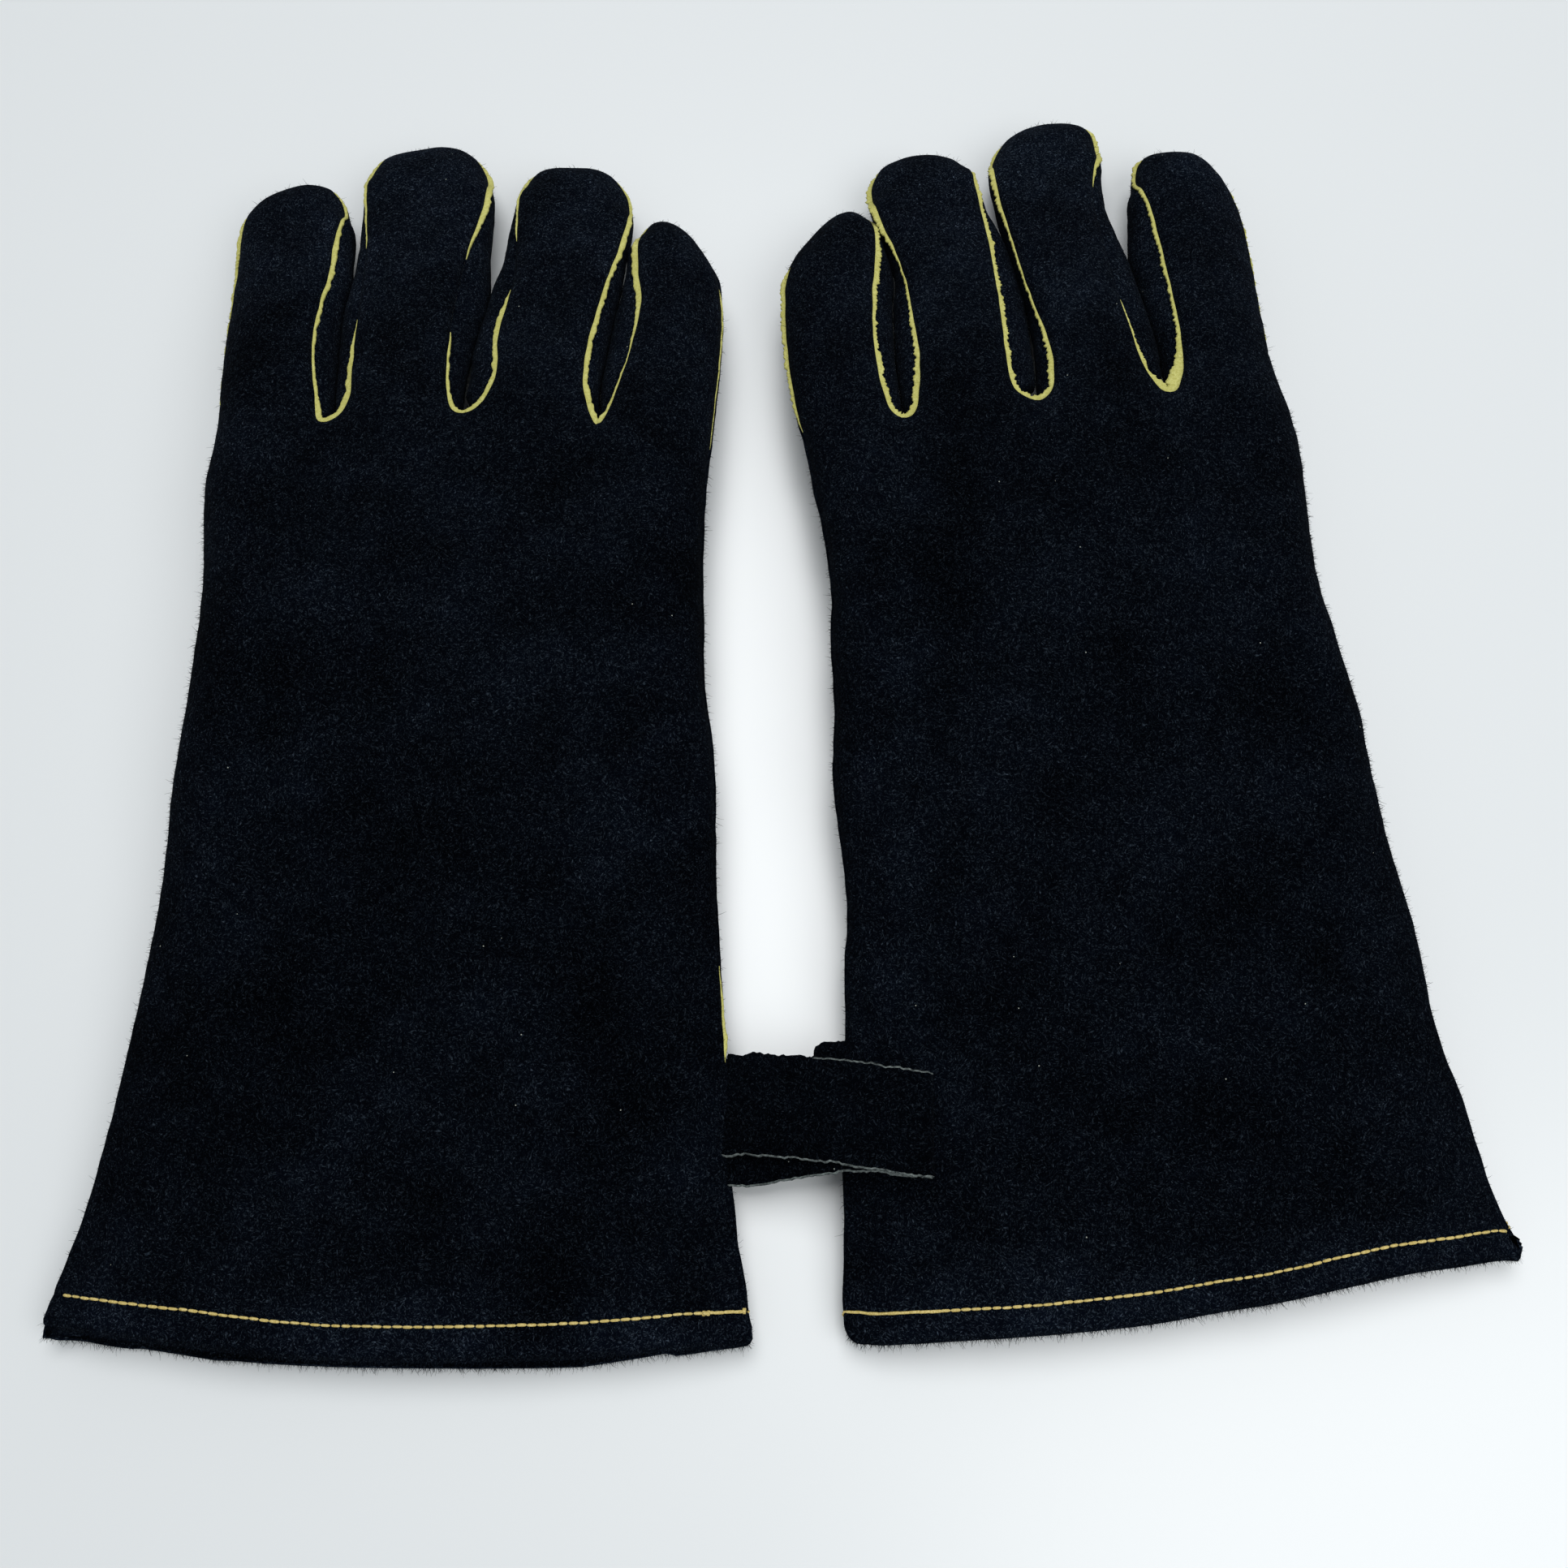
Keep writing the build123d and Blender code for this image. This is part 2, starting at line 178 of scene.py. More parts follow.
LEFT = {
    "seed": 40,
    "stitch": 7.3,
    "frayed": 0.6,
    "hem": [(-84.2, -0.3), (-80, 0.3), (-68, 0), (-55.5, -0.2), (-39, -1.6), (-22, -3.2), (-6, -3.9),
            (11, -4.8), (27, -4.7), (43, -4.2), (59, -3.4), (71, -2.8), (79, -2.2), (84, -0.9)],
    "index_side": {
        "points": [(-84.2, -0.3), (-85.6, 1.6), (-85, 5), (-83, 10.6), (-80.8, 19.8), (-78.3, 38),
                   (-75, 57), (-74.4, 85), (-72.3, 106), (-71.3, 130), (-71.1, 144), (-69.7, 156),
                   (-68.8, 168), (-67.6, 179), (-67.6, 190), (-70.8, 224), (-70.4, 236), (-69, 247),
                   (-69, 260), (-73.2, 304)],
        "welt": [(240, 0.1), (260, 0.6), (335, 1.2)],
    },
    "index_tip": {
        "points": [(-72.6, 316.7), (-67, 332.6), (-61.5, 336.4), (-54, 337), (-48.3, 335.2),
                   (-45.6, 330.6)],
        "welt": [(-73, 1.2), (-70, 1.1), (-66, 0.6), (-61, 0.1), (-55, 0.1), (-50, 0.4), (-46, 1.2)],
    },
    "index_in": {
        "points": [(-44.4, 322.7), (-45.1, 309.8), (-42.4, 256.3), (-40.6, 247.9)],
        "wall": [(-45, 332.6), (-42.4, 326.6), (-38.2, 304.8), (-36.5, 296.9)],
        "welt": [(334, 1.6), (315, 0.9), (272, 0.9), (264, 1), (256, 1.6), (250, 3), (246, 3.7)],
    },
    "fork_1": {
        "points": [(-38, 243.2), (-35.8, 242.4), (-33.8, 243.2)],
        "touch": [(-37.4, 276.1), (-37.8, 261.3), (-37.2, 245.4)],
        "welt": [(242, 2.8), (254, 2.4)],
    },
    "middle_out": {
        "points": [(-31.8, 247.4), (-29.8, 254.3), (-29.1, 265.2), (-28.3, 280.1), (-28.6, 314.7),
                   (-30.6, 327.6)],
        "wall": [(-36.9, 337.6), (-34.9, 329.6), (-33.6, 316.7), (-35, 304.8), (-36.3, 295.9)],
        "welt": [(247, 1.4), (275, 0.2), (280, 0), (322, 0), (328, 0.9), (338, 1.8), (345, 1.4),
                 (350, 0.5)],
    },
    "middle_tip": {
        "points": [(-34.2, 337.6), (-35.2, 344.6), (-33.8, 350.1), (-29.5, 353.4), (-22.5, 354.6),
                   (-15, 353.6), (-8.8, 350), (-4.2, 344.6)],
        "welt": [(-35.5, 1.8), (-33.8, 1.7), (-30, 0.9), (-25, 0.3), (-20, 0.1), (-8, 0.1), (-4, 0.8)],
    },
    "middle_in": {
        "points": [(-1, 335.6), (-2.2, 287), (-4.9, 260.3), (-3.4, 248.9)],
        "wall": [(-0.3, 335.6), (0, 328.6), (-2, 304.8), (-2.3, 297.9), (-2, 291)],
        "welt": [(345, 0.8), (338, 1.4), (320, 1.2), (308, 0.5), (280, 0.5), (255, 1.5)],
    },
    "fork_2": {
        "points": [(-1.1, 245.4), (2, 243.9), (5.2, 245.6)],
        "touch": [(-2.4, 279.1), (-2, 267.2), (0.6, 245.4)],
        "welt": [(243, 1.6), (254, 1.5)],
    },
    "ring_out": {
        "points": [(8, 249.4), (6.7, 284.1), (6, 301.9), (6.2, 327.6)],
        "wall": [(4, 332.6), (3.2, 325.6), (2.8, 318.7), (0.6, 312.8), (-0.7, 305.8), (-1.7, 297.9)],
        "welt": [(250, 1.5), (330, 1.2), (340, 0.3)],
    },
    "ring_tip": {
        "points": [(6.2, 335.6), (9, 341.1), (14, 344.6), (20.5, 345.8), (28, 344.4), (33.6, 341),
                   (36.9, 334.6)],
        "welt": [(6, 0.5), (9, 0.5), (13, 0.1), (30, 0.1), (34, 0.4), (36.9, 1.5)],
    },
    "ring_in": {
        "points": [(37.5, 325.6), (36.8, 315.7), (34.5, 304.8), (32.9, 292), (32.8, 276.1), (33.1, 263.3),
                   (36.2, 246.4)],
        "wall": [(38.9, 331.6), (37.4, 318.7), (34.6, 298.9), (35.2, 294.4)],
        "welt": [(333, 1.6), (322, 2.2), (312, 1.2), (300, 0.4), (262, 1.3), (250, 1.9)],
    },
    "fork_3": {
        "points": [(38.4, 243), (41, 242.6)],
        "touch": [(36.6, 290), (37.6, 282.1), (39.3, 265.2), (39.6, 245.4)],
        "welt": [(242, 1.8), (254, 1.7)],
    },
    "little_out": {
        "points": [(43.6, 245.4), (45.7, 262.3), (43.2, 289), (41, 299.9)],
        "wall": [(38.6, 320.7), (36.8, 314.2), (34.9, 300.9), (35.1, 295.9)],
        "welt": [(250, 1.6), (272, 1), (300, 1.7), (312, 1.6), (320, 1)],
    },
    "little_tip": {
        "points": [(39.5, 317.7), (42.5, 322.9), (47, 323.9), (52.5, 321.5), (63.8, 308.8)],
        "welt": [(39, 1.9), (41, 1.6), (44, 0.8), (56, 0.1), (63, 0.1)],
    },
    "little_side": {
        "points": [(66.7, 303), (68.9, 292), (70.3, 264), (69.6, 250.5), (68.2, 239), (67.6, 227),
                   (66.5, 215.6), (66.4, 193), (68, 182), (69.5, 161), (72.1, 141), (72.3, 110),
                   (73.1, 101.6), (74.6, 94), (76.9, 74), (81.9, 37.6), (82.6, 29), (85.6, 4), (85.4, 0.6),
                   (84, -0.9)],
        "welt": [(316, 0.1), (310, 0.9), (300, 1.5), (255, 0.9), (246, 0.1)],
    },
}
EDGES = ("index_side", "index_tip", "index_in", "fork_1", "middle_out", "middle_tip", "middle_in", "fork_2",
         "ring_out", "ring_tip", "ring_in", "fork_3", "little_out", "little_tip", "little_side")
FINGERS = ("index", "middle", "ring", "little")


# ------------------------------------------------------------------ small tools

def smooth01(value):
    """An even step from 0 to 1."""
    value = np.clip(value, 0, 1)
    return value * value * (3 - 2 * value)


def wobble(points, size, seed):
    """Smooth noise from -1 to 1 with lumps of the given size in millimetres."""
    shift = Vector((seed * 7.31, seed * 3.17, seed * 1.93))
    return np.array([noise.noise(Vector(p) / size + shift) for p in points])


def spline(points, closed=False):
    """A centripetal Catmull-Rom line through points, with the number of the span at each place."""
    line = np.array(points, float)
    if closed:
        line = np.vstack([line[-2], line, line[1]])
    else:
        line = np.vstack([2 * line[0] - line[1], line, 2 * line[-1] - line[-2]])
    places, spans = [], []
    for number in range(1, len(line) - 2):
        a, b, c, d = line[number - 1:number + 3]
        gaps = [max(np.linalg.norm(q - p), 1e-6) ** 0.5 for p, q in ((a, b), (b, c), (c, d))]
        knots = np.cumsum([0] + gaps)
        count = max(2, int(np.linalg.norm(c - b) / 0.3))
        t = np.linspace(knots[1], knots[2], count, endpoint=False)[:, None]
        t0, t1, t2, t3 = knots
        ab = (t1 - t) / (t1 - t0) * a + (t - t0) / (t1 - t0) * b
        bc = (t2 - t) / (t2 - t1) * b + (t - t1) / (t2 - t1) * c
        cd = (t3 - t) / (t3 - t2) * c + (t - t2) / (t3 - t2) * d
        abc = (t2 - t) / (t2 - t0) * ab + (t - t0) / (t2 - t0) * bc
        bcd = (t3 - t) / (t3 - t1) * bc + (t - t1) / (t3 - t1) * cd
        places.append((t2 - t) / (t2 - t1) * abc + (t - t1) / (t2 - t1) * bcd)
        spans += [number - 1] * count
    places.append(line[-2:-1])
    spans.append(len(line) - 4)
    return np.vstack(places), np.array(spans)


def even_steps(line, step):
    """Distances along a line and the even places on it."""
    runs = np.linalg.norm(np.diff(line, axis=0), axis=1)
    along = np.concatenate([[0], np.cumsum(runs)])
    count = max(2, int(round(along[-1] / step)) + 1)
    return along, np.linspace(0, along[-1], count)


def evened(values, reach):
    """Values along a line, averaged over a number of places."""
    kernel = np.hanning(2 * reach + 3)[1:-1]
    padded = np.concatenate([np.full(reach, values[0]), values, np.full(reach, values[-1])])
    return np.convolve(padded, kernel / kernel.sum(), mode="valid")


# ------------------------------------------------------------------ the seam line of a glove

def edge_kind(name):
    """Whether an edge of the outline is a side, a tip, a fork or the gap between two fingers."""
    return next((kind for kind in ("side", "tip", "fork") if kind in name), "gap")


class Seam:
    """The seam line with its height, and the width of the rounding and the walls beside it.

    A row of its table has the place, the rise over the middle level, the width of the rounding
    above and below the seam, how far the side wall swells out, and the width of the welt shown.
    """

    def __init__(self, data, closed=False):
        self.data = data
        self.closed = closed
        names, points = [], []
        for edge in EDGES:
            if edge in data:
                points += data[edge]["points"]
                names += [edge] * len(data[edge]["points"])
        dense, spans = spline(points, closed)
        along, even = even_steps(dense, STEP)
        x, y = (np.interp(even, along, dense[:, k]) for k in (0, 1))
        label = [names[spans[i]] for i in np.searchsorted(along, even).clip(0, len(spans) - 1)]
        x = x + 0.22 * wobble([(0, s, 0) for s in even], 5.0, 1 + data["seed"])
        kind = np.array([edge_kind(name) for name in label])
        kinds = [kind == "gap", kind == "fork", kind == "tip"]
        rise = np.select(kinds, [6.0, 6.3, 1.0], 0.0)
        cuff_width = np.interp(y, (0, 40, 75, 150), (44, 36, 26, 14))
        top = np.select(kinds, [7.5, 8, 11], cuff_width)
        low = np.select(kinds, [12, 11, 10.5], cuff_width)
        if closed:
            top, low = np.full(len(x), 13.0), np.full(len(x), 13.0)
        wall = np.select([kind == "fork", kind == "tip"], [1.6, 0.8], 0.5)
        welt = np.full(len(x), 0.1)
        for number, edge in enumerate(EDGES):
            here = np.array([n == edge for n in label])
            if "wall" in data.get(edge, {}):
                side = 1 if edge.endswith("_in") else -1
                to_fork = data[EDGES[number + side]]["touch"]
                line = np.array(sorted(data[edge]["wall"] + to_fork, key=lambda p: p[1]))
                reach = side * (np.interp(y, line[:, 1], line[:, 0]) - x) - WALL_CLEAR
                wall = np.where(here, np.clip(reach, 0.3, 9), wall)
            if "welt" in data.get(edge, {}):
                line = np.array(sorted(data[edge]["welt"]))
                welt = np.where(here, np.interp(x if "tip" in edge else y, line[:, 0], line[:, 1]), welt)
        reach = int(5 / STEP)
        rise, top, low = (evened(v, reach) for v in (rise, top, low))
        wall, welt = evened(wall, 3), evened(welt, 2)
        self.table = np.column_stack([x, y, rise, top, low, wall, welt])
        self.cuts = []
        self.hem = None if closed else spline(data["hem"])[0]
        if not closed:
            self.insert_cuts()
        self.finish_table()

    def insert_cuts(self):
        """Places where the seam line crosses the finger cut, so that the leathers part there."""
        rows = [self.table[0]]
        for a, b in zip(self.table, self.table[1:]):
            if (a[1] - FINGER_CUT) * (b[1] - FINGER_CUT) < 0:
                share = (FINGER_CUT - a[1]) / (b[1] - a[1])
                row = a + share * (b - a)
                row[1] = FINGER_CUT
                if share < 0.3:
                    rows.pop()
                self.cuts.append(len(rows))
                rows.append(row)
                if share > 0.7:
                    continue
            rows.append(b)
        self.table = np.array(rows)

    def finish_table(self):
        """Places, outward directions and heights, and the field that distances are measured in."""
        if self.closed:
            self.table[-1] = self.table[0]
        self.points = self.table[:, :2]
        run = np.gradient(self.points, axis=0)
        if self.closed:
            run[0] = run[-1] = run[0] + run[-1]
        run /= np.linalg.norm(run, axis=1)[:, None]
        self.out = np.column_stack([-run[:, 1], run[:, 0]])
        ripple = 0.35 * wobble([(s * STEP, 0, 0) for s in range(len(run))], 6.0, 9 + self.data["seed"])
        rise = self.table[:, 2]
        self.height = self.middle(self.points) + rise + ripple * np.clip(rise / 4, 0.3, 1)
        self.field = np.column_stack([self.points, self.out, self.table[:, 2:], self.height])
        if not self.closed:
            first = self.beyond(CORNER_STEPS, CORNER_STEPS + 6)
            last = self.beyond(-1 - CORNER_STEPS, -7 - CORNER_STEPS)
            self.field = np.vstack([first, self.field[CORNER_STEPS:-CORNER_STEPS], last])

    def beyond(self, corner, further):
        """A row past the hem, in line with the side, so that the rounded corner doesn't end the seam."""
        row = self.field[corner].copy()
        run = row[:2] - self.field[further, :2]
        row[:2] += run / np.linalg.norm(run) * PAST_HEM
        return row

    def low(self, places):
        return np.interp(places[:, 1], LEVELS_Y, LEVELS_LOW)

    def top(self, places):
        return np.interp(places[:, 1], LEVELS_Y, LEVELS_TOP)

    def middle(self, places):
        return (self.low(places) + self.top(places)) / 2

    def hem_y(self, x):
        """The hem's bowed edge."""
        return np.interp(x, self.hem[:, 0], self.hem[:, 1])

    def nearest(self, places):
        """For each place: distance to the seam, outward direction, and the seam's values there.

        These are its row from the rise on, and its height.
        """
        start, end = self.field[:-1, :2], self.field[1:, :2]
        run = end - start
        length2 = (run ** 2).sum(1)
        rows, outward = self.field[:, 4:], self.field[:, 2:4]
        distance, direction, values = [], [], []
        for chunk in np.array_split(places, max(1, len(places) // 2000)):
            gap = chunk[:, None, :] - start[None]
            share = np.clip((gap * run[None]).sum(2) / length2, 0, 1)
            away = gap - share[..., None] * run[None]
            far = (away ** 2).sum(2)
            best = far.argmin(1)
            pick = np.arange(len(chunk))
            s = share[pick, best][:, None]
            values.append(rows[best] * (1 - s) + rows[best + 1] * s)
            normal = outward[best] * (1 - s) + outward[best + 1] * s
            inward = away[pick, best]
            size = np.linalg.norm(inward, axis=1)[:, None]
            past = ((inward * normal).sum(1) > 0)[:, None]
            distance.append(np.where(past, 0, size)[:, 0])
            direction.append(np.where((size > 0.4) & ~past, -inward / np.maximum(size, 1e-9), normal))
        direction = np.vstack(direction)
        direction /= np.linalg.norm(direction, axis=1)[:, None]
        return np.concatenate(distance), direction, np.vstack(values)


class ThumbSeam(Seam):
    """The seam round a thumb, in the thumb's own frame: its tip on Y, its underside at Z 0."""

    def low(self, places):
        return np.full(len(places), 0.25)

    def top(self, places):
        rise = np.exp(-(places ** 2).sum(1) / 90)
        return 13.0 + 1.3 * rise


# ------------------------------------------------------------------ flat pattern of a glove

def inside(polygon, places):
    """Whether each place lies in the closed polygon."""
    a, b = polygon, np.roll(polygon, -1, axis=0)
    result = np.zeros(len(places), bool)
    for (x0, y0), (x1, y1) in zip(a, b):
        if y0 == y1:
            continue
        spans = (places[:, 1] > min(y0, y1)) & (places[:, 1] <= max(y0, y1))
        cross = x0 + (places[:, 1] - y0) * (x1 - x0) / (y1 - y0)
        result ^= spans & (places[:, 0] < cross)
    return result


def thin_out(fixed, loose, spacing):
    """The loose places that keep their distance from the fixed ones and from each other."""
    cells, kept = {}, []

    def near(p, reach):
        cx, cy = int(p[0] // spacing), int(p[1] // spacing)
        return any(
            (p[0] - q[0]) ** 2 + (p[1] - q[1]) ** 2 < reach * reach
            for i in (-1, 0, 1) for j in (-1, 0, 1) for q in cells.get((cx + i, cy + j), ())
        )

    def put(p):
        cells.setdefault((int(p[0] // spacing), int(p[1] // spacing)), []).append(p)

    for p in fixed:
        put(p)
    for p, reach in loose:
        if not near(p, reach):
            put(p)
            kept.append(p)
    return kept


def flat_pattern(seam, rows, grid, hem_start=0.0, hem_rows=(), cuts=True):
    """Triangles over the outline, finer beside its edges: the places and the triangles."""
    edge = seam.points
    if seam.closed:
        hem, edge = np.zeros((0, 2)), edge[:-1]
    else:
        if hem_start:
            edge = edge[edge[:, 1] > seam.hem_y(edge[:, 0]) + hem_start]
        spacing = HEM_STEP if hem_rows else grid
        count = int(abs(edge[0, 0] - edge[-1, 0]) / spacing) + 1
        x = np.linspace(edge[-1, 0], edge[0, 0], count)[1:-1]
        hem = np.column_stack([x, seam.hem_y(x) + hem_start])
    outline = np.vstack([edge, hem])
    count = len(outline)
    links = [(i, (i + 1) % count) for i in range(count)]
    fixed = [tuple(p) for p in outline]

    if cuts:
        crossing = sorted(
            (p[0], i) for i, p in enumerate(edge) if abs(p[1] - FINGER_CUT) < 1e-9
        )
        for (x0, i0), (x1, i1) in zip(crossing[::2], crossing[1::2]):
            places = np.linspace(x0, x1, max(3, int((x1 - x0) / 1.6)))[1:-1]
            numbers = [i0] + list(range(len(fixed), len(fixed) + len(places))) + [i1]
            fixed += [(float(x), FINGER_CUT) for x in places]
            links += list(zip(numbers, numbers[1:]))

    loose = [(seam.points - seam.out * row, row) for row in rows[1:]]
    for number, row in enumerate(hem_rows[1:], 1):
        x = np.arange(edge[:, 0].min(), edge[:, 0].max(), HEM_STEP) + number % 2 * HEM_STEP / 2
        loose.append((np.column_stack([x, seam.hem_y(x) + row]), 0.5))
    low, high = outline.min(0), outline.max(0)
    lattice = [
        (x + (grid / 2 if k % 2 else 0), y)
        for k, y in enumerate(np.arange(low[1], high[1], grid * 0.866))
        for x in np.arange(low[0], high[0], grid)
    ]
    loose.append((np.array(lattice), grid * 0.5 + rows[-1]))
    candidates = []
    for number, (places, reach) in enumerate(loose):
        beside_seam, is_lattice = number < len(rows) - 1, number == len(loose) - 1
        keep = inside(outline, places)
        keep &= seam.nearest(places)[0] > (0.93 if beside_seam else 0.97) * reach
        if not seam.closed:
            from_hem = places[:, 1] - seam.hem_y(places[:, 0]) - hem_start
            if beside_seam:
                keep &= from_hem > 0.5
            elif is_lattice:
                keep &= from_hem > (hem_rows[-1] + 0.5 * grid if hem_rows else 0.5 * grid)
        if cuts:
            keep &= np.abs(places[:, 1] - FINGER_CUT) > 0.6
        least = 0.6
        if beside_seam:
            least = max(0.3, min(0.42 * (rows[number + 1] - rows[number]) * 1.6, 0.55 * grid))
        candidates += [((float(a), float(b)), least) for a, b in places[keep]]
    fixed_all = fixed + thin_out(fixed, candidates, 2.5)
    done = delaunay_2d_cdt([Vector(p) for p in fixed_all], links, [], 1, 1e-5)
    places = np.array([tuple(v) for v in done[0]])
    triangles = np.array([f for f in done[2] if len(f) == 3])
    used, triangles = np.unique(triangles, return_inverse=True)
    return places[used], triangles.reshape(-1, 3)


# ------------------------------------------------------------------ surfaces

def welt_room(width):
    """Half of the gap between the leathers, which closes where no welt shows."""
    return WELT_THICK / 2 * (0.15 + 0.85 * smooth01(width / 0.45))


def crown(share, power):
    """0 at the seam, rising steeply and level at 1."""
    return (1 - (1 - np.clip(share, 0, 1)) ** 2) ** power


def hem_drop(seam, places, distance):
    """How far the folded hem rounds towards its edge."""
    if seam.closed:
        return np.zeros(len(places))
    share = np.clip((places[:, 1] - seam.hem_y(places[:, 0])) / HEM_ROUND, 0, 1)
    round_down = 1 - np.sqrt(np.clip(1 - (1 - share) ** 2, 0, 1))
    return HEM_ROUND * 0.85 * round_down * (0.3 + 0.7 * smooth01(distance / 6))


def top_surface(seam, places):
    """The back of the glove over its flat pattern."""
    distance, _, values = seam.nearest(places)
    y = places[:, 1]
    height = values[:, 5] + welt_room(values[:, 4])
    power = np.interp(y, (0, 60, 140), (0.85, 0.7, 0.5))
    share = crown(distance / values[:, 1], power)
    top = seam.top(places)
    z = height + (top - height) * share
    flat = np.column_stack([places, np.zeros(len(places))])
    away = smooth01(distance / 14)
    seed = seam.data["seed"]
    z += away * (1.1 * wobble(flat, 46, 2 + seed) + 0.45 * wobble(flat, 19, 3 + seed))
    z += smooth01(distance / 3) * (0.22 * wobble(flat, 7.5, 4 + seed) + 0.1 * wobble(flat, 3.2, 5 + seed))
    z += smooth01(distance / 2) * (1 - smooth01((distance - 3) / 9)) * 0.35 * wobble(flat, 5.5, 6 + seed)
    if not seam.closed:
        from_hem = y - seam.hem_y(places[:, 0])
        z -= 0.6 * np.exp(-((from_hem - seam.data["stitch"] + 0.1) / 1.0) ** 2)
        z += 0.4 * np.exp(-((from_hem - 4.3) / 2.4) ** 2) * smooth01(distance / 3)
        z += 0.8 * wobble(flat, 30, 8 + seed) * (1 - smooth01(from_hem / 40))
        z -= hem_drop(seam, places, distance)
    return np.column_stack([places, z])


def palm_surface(seam, places):
    """The palm side of the glove, which swells out below the seam."""
    distance, out, values = seam.nearest(places)
    width, wall, height = values[:, 2], values[:, 3], values[:, 5] - welt_room(values[:, 4])
    low = seam.low(places)
    belly = np.minimum(height, seam.middle(places) - 1)
    share = np.clip(distance / width, 0, 1)
    upper = 0.1 + 0.2 * np.clip(wall / 4, 0, 1)
    first = np.clip(share / upper, 0, 1) * math.pi / 2
    last = np.clip((share - upper) / (1 - upper), 0, 1) * math.pi / 2
    over = share < upper
    reach = np.where(over, wall * np.sin(first), -width + (wall + width) * np.cos(last))
    z = np.where(over, belly + (height - belly) * np.cos(first), belly - (belly - low) * np.sin(last))
    moved = places + out * np.where(share < 1, reach + distance, 0)[:, None]
    flat = np.column_stack([places, np.full(len(places), 50.0)])
    seed = seam.data["seed"]
    away = smooth01(distance / 14)
    lift = away * (0.9 * wobble(flat, 40, 12 + seed) + 0.4 * wobble(flat, 15, 13 + seed))
    lift += smooth01(distance / 3) * (0.25 * wobble(flat, 7, 14 + seed) + 0.1 * wobble(flat, 3.2, 15 + seed))
    z += np.select([low < 2.5, low > 12.5], [np.abs(lift) * 0.4, np.abs(lift) * 0.6], lift)
    if not seam.closed:
        z += hem_drop(seam, places, distance)
        from_hem = places[:, 1] - seam.hem_y(places[:, 0])
        aside = np.clip(1 - (wall - reach) / HEM_CORNER, 0, 1)
        ahead = np.clip(1 - from_hem / HEM_CORNER, 0, 1)
        moved -= out * (HEM_CORNER * aside * (1 - np.sqrt(1 - ahead ** 2 / 2)))[:, None]
        moved[:, 1] += HEM_CORNER * ahead * (1 - np.sqrt(1 - aside ** 2 / 2))
        if "palm_hem" in seam.data:
            line = np.array(seam.data["palm_hem"])
            moved[:, 1] -= np.interp(places[:, 0], line[:, 0], line[:, 1]) * (1 - smooth01(from_hem / 20))
    return np.column_stack([moved, z])


def vertex_normals(points, triangles):
    """The mean normal of the triangles round each point."""
    a, b, c = (points[triangles[:, k]] for k in range(3))
    face = np.cross(b - a, c - a)
    total = np.zeros_like(points)
    for k in range(3):
        np.add.at(total, triangles[:, k], face)
    size = np.linalg.norm(total, axis=1)[:, None]
    return total / np.maximum(size, 1e-12)


def sheet_mesh(points, triangles, normals, thickness):
    """A closed sheet of an outer face, an inner one and a rim: points, faces and where the rim starts."""
    if (vertex_normals(points, triangles) * normals).sum() < 0:
        triangles = triangles[:, ::-1]
    inner = points - normals * thickness[:, None]
    count = len(points)
    sides = {}
    for a, b, c in triangles:
        for p, q in ((a, b), (b, c), (c, a)):
            if (q, p) in sides:
                del sides[(q, p)]
            else:
                sides[(p, q)] = True
    rim = [(q, p, p + count, q + count) for p, q in sides]
    faces = [tuple(t) for t in triangles] + [tuple(t[::-1] + count) for t in triangles]
    return np.vstack([points, inner]), faces + rim, len(faces)


# ------------------------------------------------------------------ placing in the row frame

class Glove:
    """One glove: its frame, which the wrist's joint gives, its seam and the making of its pieces."""

    def __init__(self, side, data):
        wrist = JOINTS[f"{side}_wrist_bend"]
        across = -Vector(wrist["axis"])
        self.along = Vector((0, 0, 1)).cross(across)
        self.across = across if side == "right" else -across
        origin = Vector(wrist["pos_m"]) - self.along * WRIST_FROM_HEM * MM
        self.origin = Vector((origin.x, origin.y, 0))
        self.side = side
        self.basis = np.array([self.across, self.along, (0, 0, 1)])
        self.mirrored = side == "left"
        self.seam = Seam(data)
        self.pattern = flat_pattern(self.seam, SEAM_ROWS, 2.4, hem_rows=HEM_ROWS)

    def place(self, points):
        return np.asarray(points, float) * MM @ self.basis + np.array(self.origin)

    def mesh(self, name, points, faces, flat_from=None, materials=(), picks=None, normals=None, wear_and_painted_light=None):
        """An object from millimetre points of this glove's frame. The faces before flat_from are smooth."""
        made = bpy.data.meshes.new(name)
        if self.mirrored:
            faces = [tuple(reversed(f)) for f in faces]
        whole_numbers = [tuple(int(i) for i in f) for f in faces]
        made.from_pydata([tuple(p) for p in self.place(points)], [], whole_numbers)
        smooth = np.ones(len(faces), bool)
        if flat_from is not None:
            smooth[flat_from:] = False
        made.polygons.foreach_set("use_smooth", smooth)
        for material in materials:
            made.materials.append(material)
        if picks is not None:
            made.polygons.foreach_set("material_index", np.asarray(picks, np.int32))
        made.update()
        if wear_and_painted_light is not None:
            attribute = made.attributes.new("wear_and_painted_light", "FLOAT", "POINT")
            attribute.data.foreach_set("value", np.asarray(wear_and_painted_light, np.float32))
        if normals is not None:
            turned = normals @ self.basis
            made.normals_split_custom_set([
                tuple(turned[i]) if number < flat_from else (0, 0, 0)
                for number, face in enumerate(faces) for i in face
            ])
        thing = bpy.data.objects.new(name, made)
        bpy.context.scene.collection.objects.link(thing)
        return thing

    def joint_blend(self, thing, part):
        """Hand and finger pieces alike: the object's placement is baked into its mesh."""
        if part == "hand":
            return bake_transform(thing)
        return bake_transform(thing)


